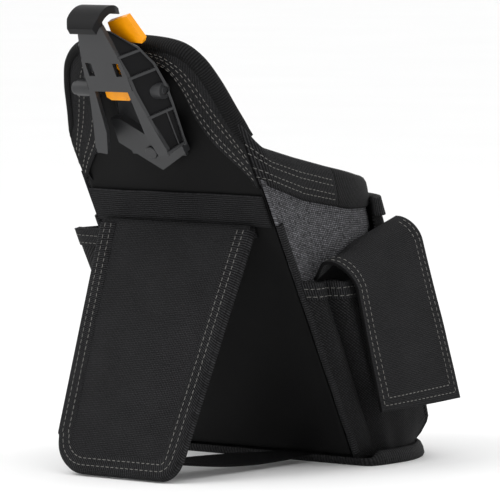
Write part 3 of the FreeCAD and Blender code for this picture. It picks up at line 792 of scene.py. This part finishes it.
# ---- body wall, rim, lining ----
SEAM_TURN = 0.2  # the side rim ends and the front rim starts here
CORNER_TURN = 0.035  # the rim's end wraps round the body's back corner
CORNER_R = 8.0
FLAP_WALL_X = -60.0  # only the wall behind the flap lies past this
SEAM_DROP = 4.5  # the painted shade under the flap, black lining cloth on the wall, starts this far under the flap's seam


def rim_low(y):
    return np.interp(y, [-40, 64.5, 110, 148.6, 190], [158, 160.5, 168, 180, 195])


def rim_top(y):
    return np.interp(y, [-40, 50, 87, 120, 161.9, 190], [170, 181, 188, 195, 205, 212])


def meet_line(shape, s_at, line):
    """Height at which an outline, whose s is known at each height, meets a rim line given by y."""
    z = np.full(shape, 175.0)   # near every part of the rim
    for _ in range(40):
        z = 0.5 * z + 0.5 * line(BACK_Y + z * TAN + s_at(z))
    return z


def body_at(turn, share, radius, bulge=True):
    """Body wall from its foot (share 0) to just under the rim (share 1)."""
    top = meet_line(turn.shape, lambda z: round_point(turn, radius, z)[1], rim_low)
    z = FLOOR_Z + (top - 1.0) * share
    out = radius + 0 * z
    if bulge:
        free = smooth(turn / 0.06) * smooth((1 - turn) / 0.06)
        free = free * smooth(share / 0.1) * smooth((1 - share) / 0.1)
        out = out + free * (0.9 * wander(turn * 300, z, 12, 90) + 0.4)
    return wall_at(*round_point(turn, out, z), z)


def flap_seam(y):
    """Height on the right wall under which the flap hides it; the wall there gets the black lining cloth as
    painted shade.
    """
    seam = flap_at_cloth(np.linspace(0, FLAP_SIDE, 30), np.zeros(30))
    order = np.argsort(seam[:, 1])
    return np.interp(y, seam[order, 1], seam[order, 2]) - SEAM_DROP


def snap_to_seam(grid):
    """Moves the wall's nearest row onto the flap's seam, so the painted shade of black lining cloth ends in a
    clean line.
    """
    for column in grid:
        gap = column[:, 2] - flap_seam(column[:, 1])
        crossings = np.flatnonzero(gap[:-1] * gap[1:] < 0)
        if column[0, 0] < FLAP_WALL_X and len(crossings):
            k = crossings[0]
            t = gap[k] / (gap[k] - gap[k + 1])
            column[k + int(t > 0.5)] = column[k] + t * (column[k + 1] - column[k])


def make_walls():
    turn, share = pairs(np.linspace(0, 1, 170), np.linspace(0, 1, 60))
    grid = body_at(turn, share, BODY_R)
    snap_to_seam(grid)
    wall = shell_piece("heather_wall", grid, 2.6, M["heather"], facing=(0, -1, 0))
    # the wall under the flap takes the black lining cloth: painted shade of the hollow under the flap
    wall.data.materials.append(M["lining"])
    for face in wall.data.polygons:
        x, y, z = face.center * 1000
        if x < FLAP_WALL_X and z < flap_seam(y):
            face.material_index = 1
    finish_cloth(wall, "pouch", ["body_shell"], "heather_fabric", grid)
    grid = body_at(turn, share, BODY_R - WALL, False)[14:-14]
    add_shell("inner_liner", "inner_lining", "lining_fabric", grid, 1.0, M["lining"], facing=(0, -1, 0))


def rim_base(turn, out, z):
    """Place on the rim's surface at height z, out from the body wall, as (x, s)."""
    end = np.minimum(turn, 1 - turn)
    hand = np.where(turn < 0.5, 1.0, -1.0)
    start = CORNER_R + 1.0
    angle = 0.5 * math.pi * (1 - np.clip(end / CORNER_TURN, 0, 1))
    corner_x = BODY_R - CORNER_R + (CORNER_R + out) * np.cos(angle)
    corner_s = (CORNER_R + out) * np.sin(angle) - start
    side = np.clip((end - CORNER_TURN) / (SIDE_SHARE - CORNER_TURN), 0, 1)
    angle = np.clip((turn - SIDE_SHARE) / (1 - 2 * SIDE_SHARE), 0, 1) * math.pi
    front = np.where(side >= 1, (BODY_R + out) * np.sin(angle), 0)
    at_corner = end < CORNER_TURN
    x = np.where(at_corner, hand * corner_x, (BODY_R + out) * np.cos(angle))
    return x, np.where(at_corner, corner_s, -start - (straight_at(z) - start) * side - front)


def rim_place(turn, out, level):
    """A point of the rim: out from the body wall, level 0 at the rim's foot and 1 at its top."""
    turn, out, level = np.broadcast_arrays(*(np.asarray(v, float) for v in (turn, out, level)))
    near = (1 - smooth(np.minimum(turn, 1 - turn) / (CORNER_TURN * 1.3))) ** 1.5
    low, top = (meet_line(turn.shape, lambda z: rim_base(turn, out, z)[1], line) + lift * near
                for line, lift in ((rim_low, -3.0), (rim_top, 15.0)))
    z = low + (top - low) * level
    return wall_at(*rim_base(turn, out, z), z)


def rim_outer(swell):
    """(outwards, level) points up the rim's outer face."""
    return [(1.0, 0.0), (2.2 + swell, 0.06), (2.8 + swell, 0.3), (2.9 + swell, 0.6), (2.6, 0.82), (1.4, 0.95)]


RIM_INNER = [(-0.3, 1.0), (-2.0, 0.96), (-3.1, 0.85), (-3.5, 0.6), (-3.6, 0.3), (-3.5, 0.04)]


def rim_surface(swell):
    """Outer face of the rim: turn in thousandths, level from 0 at its foot to 1."""
    outs, levels = np.array(rim_outer(swell)).T

    def at(turn, level):
        return rim_place(np.asarray(turn, float) / 1000, np.interp(level, levels, outs), level)

    return at


def make_rim():
    for name, start, stop, n, material, swell in (
            ("rim_left", 0.0, SEAM_TURN, 46, M["tape"], 0.3),
            ("rim_front", SEAM_TURN, 1 - SEAM_TURN, 70, M["rim"], 0.0),
            ("rim_right", 1 - SEAM_TURN, 1.0, 46, M["tape"], 0.3)):
        turns = np.linspace(start, stop, n)
        rows = [rim_place(turns, out, level) for out, level in rim_outer(swell) + RIM_INNER]
        add_tube(name, ["rim_collar"], "woven_fabric", rows, material, 0.5)
    side = rim_surface(0.3)
    seam = SEAM_TURN * 1000 - 6
    rows = [(side, [(start, level), (stop, level)], 1) for level in (0.16, 0.3, 0.52, 0.66)
            for start, stop in ((8, seam), (1000 - seam, 992))]
    stitches("rim_stitches", "pouch", rows, 3)


# (out, up) points round the section of the ribbed band
BASE_SECTION = [(0.2, 0.3), (1.8, 0.0), (3.0, 1.4), (3.4, 5.0), (2.9, 8.0), (1.6, 9.3),
                (0.2, 9.4), (-0.6, 5.0)]
BASE_CORNER = 9


def make_base_band():
    """Ribbed band round the foot, lower and thinner along its back edge."""
    path = d_path(BASE_R, 200, FLOOR_Z)
    loop = even(np.vstack([path, path[:1]]), 241)[:-1]
    for _ in range(BASE_CORNER):
        loop = 0.5 * loop + 0.25 * (np.roll(loop, 1, 0) + np.roll(loop, -1, 0))
    tangent = unit(np.roll(loop, -1, 0) - np.roll(loop, 1, 0))
    outwards = np.stack([-tangent[:, 1], tangent[:, 0]], 1)
    outwards *= np.sign((outwards[60] * (loop[60] + [0, STRAIGHT])).sum())
    low = 1 - 0.45 * smooth((loop[:, 1] + 14) / 12)
    rows = []
    for out, z in BASE_SECTION:
        x, s = (loop + outwards * (out * low)[:, None]).T
        rows.append(wall_at(x, s, z * low))
    run = lengths_along(np.vstack([loop, loop[:1]]))[:-1]
    coords = stack(*pairs(run, np.arange(len(BASE_SECTION)) * 2.6), 0)
    add_tube("base_band", ["base_binding"], "binding_tape", rows, M["ribs"], 0.6, True, coords)


def make_base_sheet():
    """Underside and floor of the pouch."""
    share, t = pairs(np.linspace(-1, 1, 61), np.linspace(0, 1, 41))
    x = share * (BASE_R - 0.6)
    depth = STRAIGHT + np.sqrt(np.maximum(BASE_R ** 2 - x ** 2, 1.0)) - 0.6
    corner = np.maximum(np.abs(x) - (BASE_R - BASE_CORNER), 0)
    start = np.sqrt(np.maximum(BASE_CORNER ** 2 - corner ** 2, 0)) - BASE_CORNER
    grid = wall_at(x, start + (-depth - start) * t, FLOOR_Z)
    add_shell("base_sheet", "base_panel", "woven_fabric", grid, 3.4, M["weave"], facing=(0, 0, 1))


# ---- pockets ----
POCKET_TOPS = {"right": 118.0, "left": 144.0, "front": 165.5}
FRONT_EDGE = 40.5  # how far forward of the round's centre the front pocket starts
SIDE_POCKET_EDGE = 44.0  # how far forward of it the side pockets end
POCKET_STEPS = 80


def front_radius(z):
    """Outer radius of the front pocket at height z."""
    return np.interp(z, [4, 10, 24, 110, 168], [80.6, 80.9, 90.5, 87.5, 79.5])


def pocket_line(side, z, reach, fold):
    """Horizontal run of a side pocket's wall, from the back seam to its front edge, as (x, s)."""
    far = -68.5 - MOUTH_SPREAD * z
    end = math.sqrt(front_radius(z) ** 2 - SIDE_POCKET_EDGE ** 2) - 1.0
    points = [(BODY_R + 0.3, -6.0), (reach - 8.0, -10.0)]
    if side < 0:
        points = [(BODY_R + 0.3, -0.8), (reach - 4.5, -7.0)]
    points += [(reach - 2.5 - 0.2 * fold, -13.0), (reach - 1.0 - fold, -18.8), (reach, -25), (reach, -36),
               (reach - 0.3, far + 27), (0.5 * (reach + end), far + 11), (end, far)]
    return curve_through(points, POCKET_STEPS) * [side, 1]


def pocket_grid(side, top, levels):
    """levels: (z, reach, fold) from the foot to the hem."""
    table = np.array(levels, float)
    step = np.arange(POCKET_STEPS)
    ends = smooth(step / 12) * smooth(step[::-1] / 12)
    rows = []
    for z in np.linspace(FLOOR_Z, top, 44):
        reach, fold = (np.interp(z, table[:, 0], table[:, k]) for k in (1, 2))
        x, s = pocket_line(side, z, reach, fold).T
        wave = 0.7 * wander(step * 1.5, z, 60 + side, 70) * ends
        rows.append(wall_at(x + side * wave, s, z))
    return np.stack(rows, 1)


def surface_of(grid):
    """A grid read as a smooth surface in its own index coordinates, in hundredths."""
    def split(value, count):
        value = np.clip(np.asarray(value, float) / 100, 0, 1) * (count - 1)
        whole = np.minimum(value.astype(int), count - 2)
        return whole, (value - whole)[..., None]

    def at(a, b):
        (i, fa), (j, fb) = (split(value, count) for value, count in zip((a, b), grid.shape))
        low, high = (grid[i, k] * (1 - fa) + grid[i + 1, k] * fa for k in (j, j + 1))
        return low * (1 - fb) + high * fb

    return at


def make_pockets():
    right = [(4, 77, 1.0), (22, 81, 6.0), (75, 85, 10.5), (118, 85.5, 8.0)]
    left = [(4, 77, 0.5), (10, 78, 0.5), (40, 95, 0.5), (90, 106, 0.5), (144, 107, 0)]
    for hand, levels, side in (("right", right, -1), ("left", left, 1)):
        grid = pocket_grid(side, POCKET_TOPS[hand], levels)
        add_shell(hand + "_pocket_wall", hand + "_side_pocket", "woven_fabric", grid, 1.8, M["twill"],
                  facing=(side, 0, 0))
        make_hem(hand + "_pocket", grid, side)


HEM_TALL = 12.0


def make_hem(name, grid, side):
    """Folded hem at a pocket's mouth, with two rows of stitches."""
    middle = 36
    share = HEM_TALL / lengths_along(grid[middle])[-1]
    a, b = pairs(np.linspace(0, 100, 80), np.linspace(1 - share, 1.004, 7) * 100)
    base = surface_of(grid)(a, b)
    normal = normals_of(base)
    if normal[middle, 3, 0] * side < 0:
        normal = -normal
    outer = base + normal * 0.8
    loop = np.concatenate([outer, (base - normal * 2.4)[:, ::-1]], 1)
    add_tube(name + "_hem", [], "binding_tape", loop.swapaxes(0, 1), M["tape"], 0.2)
    rows = [(surface_of(outer), [(1.5, v), (98.5, v)], side) for v in (18, 62)]
    stitches(name + "_stitches", "pouch", rows, 5)


def make_front_pocket():
    step = np.arange(120)
    ends = smooth(np.minimum(step, step[::-1]) / 5.0 + 0.15)
    rows = []
    for z in np.linspace(FLOOR_Z, POCKET_TOPS["front"], 46):
        radius = front_radius(z)
        edge = math.asin(FRONT_EDGE / radius)
        angle = np.linspace(edge, math.pi - edge, len(step))
        puff = 0.9 * wander(step * 2.0, z, 21, 110) * ends
        r = radius * ends + (BODY_R + 3.9) * (1 - ends) + puff
        if z < 12:
            r = np.minimum(r, front_radius(10))
        rows.append(wall_at(r * np.cos(angle), -straight_at(z) - r * np.sin(angle), z))
    grid = np.stack(rows, 1)
    add_shell("front_pocket_wall", "front_pocket", "woven_fabric", grid, 2.0, M["twill"],
              facing=(0, -1, 0))
    make_hem("front_pocket", grid, 0)


# ---- divider and tool loops inside ----
DIVIDER_DEEP, DIVIDER_TOP = 54.0, 150.0  # behind the back panel's plane, and height
LOOPS_Z = 118.0


def divider_sag(share, z):
    """How far the divider hangs out of its plane; share runs from -1 to 1 across it."""
    return 1.2 * np.sin((share + 1) * math.pi / 2) * smooth((z - 80) / 70) * 0.5


def make_divider():
    share, z = pairs(np.linspace(-1, 1, 50), np.linspace(4.5, DIVIDER_TOP, 40))
    half = np.sqrt(66.6 ** 2 - np.maximum(DIVIDER_DEEP - straight_at(z), 0) ** 2) - 0.5
    grid = wall_at(share * half, -DIVIDER_DEEP + 1.6 + divider_sag(share, z), z)
    add_shell("divider_sheet", "divider_panel", "lining_fabric", grid, 1.4, M["lining"])
    half = 66.0
    x = np.linspace(-half + 0.5, half - 0.5, 50)
    s = -DIVIDER_DEEP + 1.6 + divider_sag(x / half, DIVIDER_TOP)
    section = ((0.9, -9), (1.0, -4), (0.9, 0.6), (0, 1.3), (-1.9, 1.3), (-2.8, 0.6), (-2.9, -4), (-2.8, -9))
    rows = [wall_at(x, s + out, DIVIDER_TOP + dz) for out, dz in section]
    add_tube("divider_hem", [], "binding_tape", rows, M["tape"], 0.2)


def make_tool_loops():
    """A row of webbing loops on the divider's back face."""
    angle = np.linspace(0, math.pi, 15)
    loop = [(10.2 * math.cos(a), 0.8 + 8.6 * math.sin(a) ** 0.8) for a in angle]
    line = [(centre - out, off) for centre in (-36, -12, 12, 36) for out, off in loop]
    line = even(np.array([(-48, 0.9)] + line + [(48, 0.9)]), 150)
    x, off = (line[:, k, None] for k in (0, 1))
    up = np.linspace(0, 22, 9)
    y = BACK_Y + LOOPS_Z * TAN - DIVIDER_DEEP + 3.4 + up * SIN + off * COS
    grid = stack(x, y, LOOPS_Z + up * COS - off * SIN)
    add_shell("tool_loop_webbing", "tool_loops", "webbing", grid, 1.2, M["webbing"])


# ---- flap ----
def flap_profile(run):
    """(out, up) of the flap's outer face at a length along it from the wall."""
    bend = FLAP_BEND + 1.2
    angle = np.clip((run - FLAP_START) / FLAP_ARC, 0, 1) * math.pi / 2
    out = 0.4 + np.minimum(run, FLAP_START) + bend * np.sin(angle)
    down = np.maximum(run - FLAP_START - FLAP_ARC, 0)
    return out + down * 3.0 / 111, bend * np.cos(angle) - FLAP_BEND - down


def flap_at_cloth(side, run):
    """side from the back edge (0) to the front one (FLAP_SIDE), run from the hinge down."""
    side, run = np.asarray(side, float), np.asarray(run, float)
    share = side / FLAP_SIDE
    out, up = flap_profile(run / FLAP_LONG * (FLAP_LONG + FLAP_SLOPE * share))
    along = side * 0.925 + np.clip(-up / 110, 0, 1.2) * share * 5.0
    sway = 1.6 * np.sin(share * math.pi) - 0.8 + 1.8 * share ** 3 + 0.7 * wander(side, run, 31, 90)
    out = out + smooth((run - 25) / 60) * sway
    skew = (1 - smooth(run / 32)) * (1 - smooth(side / 34))
    foot = (1 - smooth(run / 8)) * (1 - smooth(side / 30))
    crown = np.exp(-((run - 13) / 9) ** 2) * (1 - smooth(side / 26))
    return flap_at(out, along - 19.0 * skew, up - 9.0 * foot + 4.0 * crown)


def make_flap():
    grid = flap_at_cloth(*pairs(np.linspace(0, FLAP_SIDE, 60), np.linspace(0, FLAP_LONG, 90)))
    add_shell("flap_sheet", "pocket_flap", "woven_fabric", grid, 2.2, M["weave"], facing=(-1, 0, 0),
              body="flap")
    rows = []
    for inset in (4.0, 8.6):
        corners = [(inset, 6), (inset, FLAP_LONG - inset), (FLAP_SIDE - inset, FLAP_LONG - inset),
                   (FLAP_SIDE - inset, 6)]
        rows += [(flap_at_cloth, [a, b], -1) for a, b in zip(corners, corners[1:])]
    stitches("flap_stitches", "flap", rows, 7)
    frame["nodes"]["flap_hook_tape"].data.materials[0] = M["hook"]


# ---- kickstand ----
def kick_edge(inset, corner):
    """One side of the kickstand's outline from its top down to the middle of its foot, as (x, down)."""
    foot = KICK_LONG - inset
    b = KICK_FOOT_HALF - inset
    r = max(corner - inset, 4.0)
    down = np.linspace(0.8, foot - r * 0.93, 40)
    side = np.stack([b + KICK_TAPER * (foot - down), down], 1)
    angle = np.linspace(0.09, math.pi / 2, 24)
    arc = np.stack([b - r * 0.99 + r * np.cos(angle), foot - r + r * np.sin(angle)], 1)
    return np.vstack([side, arc, [[0.0, foot]]])


def kick_outline(inset, n):
    """Outline of the kickstand from its top at +x round the foot and up again, as (x, down)."""
    left = even(kick_edge(inset, KICK_ROUND), n // 2)
    right = even(kick_edge(inset, KICK_ROUND_RIGHT), n - n // 2 + 1)
    return np.vstack([left, right[-2::-1] * [-1, 1]])


def kick_pad(x, down, thick):
    """Thickness of the padded panel, thin at its edges."""
    wide = KICK_TOP_HALF - KICK_TAPER * down
    gap = np.minimum(wide - np.abs(x), np.minimum(down, KICK_LONG - down))
    return thick * smooth((gap - 8) / 26)


def kick_half(down, corner):
    """Half width of the kickstand at a distance down from its hinge, with its rounded foot."""
    drop = np.clip(down - (KICK_LONG - corner), 0, corner - 0.01)
    return KICK_TOP_HALF - KICK_TAPER * down - corner + np.sqrt(corner ** 2 - drop ** 2)


def make_kickstand():
    foot = (KICK_ROUND - 1.5) * np.sin(np.linspace(0.1, math.pi / 2, 14))
    downs = np.concatenate([np.linspace(-2.0, KICK_LONG - KICK_ROUND, 44), KICK_LONG - KICK_ROUND + foot])
    across = np.linspace(-1, 1, 61)
    for name, sign, node, slot_name, material, pad in (
            ("kickstand_pad", 1, "kickstand_back_skin", "woven_fabric", M["weave"], 1.5),
            ("kickstand_rear", -1, "kickstand_front_skin", "lining_fabric", M["lining"], 0.4)):
        if sign < 0:
            downs = np.maximum(downs, 0.6 + 0.01 * np.arange(len(downs)))
        left, right = (kick_half(downs, corner)[:, None] - 1.5 for corner in (KICK_ROUND, KICK_ROUND_RIGHT))
        x = across * np.where(across > 0, left, right)
        down = np.repeat(downs[:, None], len(across), 1)
        puff = kick_pad(x, down, pad) + 0.35 * wander(x, down, 41, 70) * smooth(kick_pad(x, down, 1.0) * 3)
        grid = kick_at(x, sign * (3.0 + puff), down)
        piece = shell_piece(name, grid, 1.6, material, stack(x, down, 0), rim=False, facing=(0, sign, 0))
        finish_cloth(piece, "kickstand", [node], slot_name, pad=0.3)


def make_kick_border():
    """Grosgrain tape folded over both sides and the foot; the top is tucked under the waist band."""
    n = 260
    half = [(12.6, 2.6), (11.5, 3.6), (8.0, 3.9), (4.0, 3.9), (1.2, 3.7), (0.0, 2.6)]
    section = half + [(-0.6, 0.0)] + [(inset, -out) for inset, out in half[::-1]]
    lines = [kick_outline(inset, n) for inset, _ in section]
    grid = np.stack([kick_at(line[:, 0], out, line[:, 1]) for line, (_, out) in zip(lines, section)], 1)
    across = [abs(inset) for inset, _ in section]
    coords = stack(*pairs(lengths_along(kick_outline(0.0, n)), across), 0)
    tape = tube_piece("kickstand_tape", grid, M["tape"], coords=coords)
    finish_cloth(tape, "kickstand", ["kickstand_binding"], "binding_tape", pad=0.3)
    rows = [(lambda x, d: kick_at(x, 3.95, d), kick_outline(inset, 400), -1) for inset in (4.4, 8.8)]
    stitches("kickstand_stitches", "kickstand", rows, 9)


# ---- stay strap, hinge tape and pipings ----
def make_stay_strap():
    low, high = (np.array(corner) * 1000 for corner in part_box("stay_strap"))
    t = np.linspace(0, 1, 60)[:, None]
    twist = np.linspace(-1, 1, 10) * 2.4 * np.sin(t * math.pi)
    z = 6.4 + (12.0 - 6.4) * t - 1.4 * np.sin(t * math.pi)
    grid = stack(np.linspace(low[0], high[0], 10), low[1] + (high[1] - low[1]) * t, z + twist)
    strap = add_shell("stay_webbing", "stay_strap", "webbing", grid, 1.5, M["strap"], facing=(0, 0, 1))
    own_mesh(strap)


def make_hinge_tape():
    x, up = pairs(np.linspace(-53, 59, 50), np.linspace(BAND_LOW - 9, BAND_LOW + 2, 8))
    grid = panel_at(x, 0.8 + panel_wave(x, up), up)
    add_shell("hinge_webbing", "hinge_tape", "webbing", grid, 1.0, M["webbing"])


def make_pipings():
    ups = np.linspace(1, BAND_LOW + 1, 90)
    wobble = 0.25 * wander(ups, ups * 0, 51, 60)
    for node, side in (("side_piping_left", 1), ("side_piping_right", -1)):
        rows = [panel_at(side * (BODY_R - 0.4) + 2.3 * np.cos(a) + wobble, -1.6 + 2.6 * np.sin(a), ups)
                for a in np.linspace(0, 2 * math.pi, 13)[:-1]]
        add_tube(node + "_tape", [node], "binding_tape", rows, M["tape"], 0.4)


# ---- moulded clip ----
# (up, half width of the front face, half width and off of the rims) down the lever
CLIP_SIDE = [(313, 10.0, 10.8, 20.5), (298.4, 13.5, 23.3, 14.0), (285.6, 16.6, 28.0, 10.0),
             (272, 17.6, 31.8, 10.2), (258.2, 21.2, 32.2, 10.2), (229, 28.0, 31.2, 10.2)]
CLIP_FACE = 25.0  # the lever's front face off the back panel
CLIP_SUNK = (0.8, 1.6)  # how deep the sunk part of its side walls lies


def sunk_panel(place):
    """Whether a point of the clip lever, in mm, lies on the sunk face of its side wall, where shade is
    painted.
    """
    dy, dz = place.y - FOOT_Y, place.z - FOOT_Z
    up, off = dy * SIN + dz * COS, dy * COS - dz * SIN
    for high, low in zip(CLIP_SIDE, CLIP_SIDE[1:]):
        if low[0] <= up <= high[0]:
            t = (up - low[0]) / (high[0] - low[0])
            front, rim, rim_off = (b + t * (a - b) for a, b in zip(high[1:], low[1:]))
            fall = CLIP_FACE - rim_off
            run = math.hypot(rim - front, fall)
            nx, ny = fall / run, (rim - front) / run
            dx, do = abs(place.x) - front, off - CLIP_FACE
            share = (dx * ny - do * nx) / run
            return CLIP_SUNK[0] < -(dx * nx + do * ny) < CLIP_SUNK[1] and 0.06 < share < 0.95
    return False


def rounded(node, body, width, material):
    """A CAD piece again, with its edges rounded as a mould leaves them."""
    mesh = frame["nodes"][node].data.copy()
    mesh.name = node + "_moulded"
    remesh(mesh, merge_flats)
    mesh.materials.clear()
    mesh.materials.append(material)
    # the sunk faces of the lever's side walls get the darker plastic, painted shade in the recess
    if node == "clip_lever":
        mesh.materials.append(M["shade"])
        for face in mesh.polygons:
            face.material_index = int(sunk_panel(face.center * 1000))
    piece = add_object(node + "_moulded", mesh)
    bevel = piece.modifiers.new("round", "BEVEL")
    bevel.width = width * 0.001
    bevel.segments = 3
    bevel.limit_method = "ANGLE"
    bevel.angle_limit = math.radians(28)
    bevel.harden_normals = False
    piece.modifiers.new("normals", "WEIGHTED_NORMAL").keep_sharp = False
    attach(piece, body)
    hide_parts(node)
    return piece


def make_clip():
    for node, body, width, material, slot_name in (
            ("clip_lever", "clip_lever", 0.5, "clip", "clip_plastic"),
            ("clip_base", "pouch", 0.6, "clip", "clip_plastic"),
            ("clip_backing_plate", "pouch", 0.5, "clip", "clip_plastic"),
            ("thumb_cap", "clip_lever", 1.9, "cap", "cap_plastic"),
            ("release_latch", "release_latch", 0.5, "orange", "orange_plastic"),
            ("pivot_pin", "pouch", 0.8, "clip", "steel"),
            ("clip_rivets", "pouch", 0.5, "clip", "steel")):
        rounded(node, body, width, M[material])
    for node, material in (("torsion_spring", "steel"), ("latch_pin", "steel"), ("latch_spring", "steel"),
                           ("back_stiffener", "board"), ("kickstand_board", "board")):
        frame["nodes"][node].data.materials[0] = M[material]


make_camera()
make_studio()
make_back()
make_walls()
make_rim()
make_base_band()
make_base_sheet()
make_pockets()
make_front_pocket()
make_divider()
make_tool_loops()
make_flap()
make_kickstand()
make_kick_border()
make_stay_strap()
make_hinge_tape()
make_pipings()
make_clip()
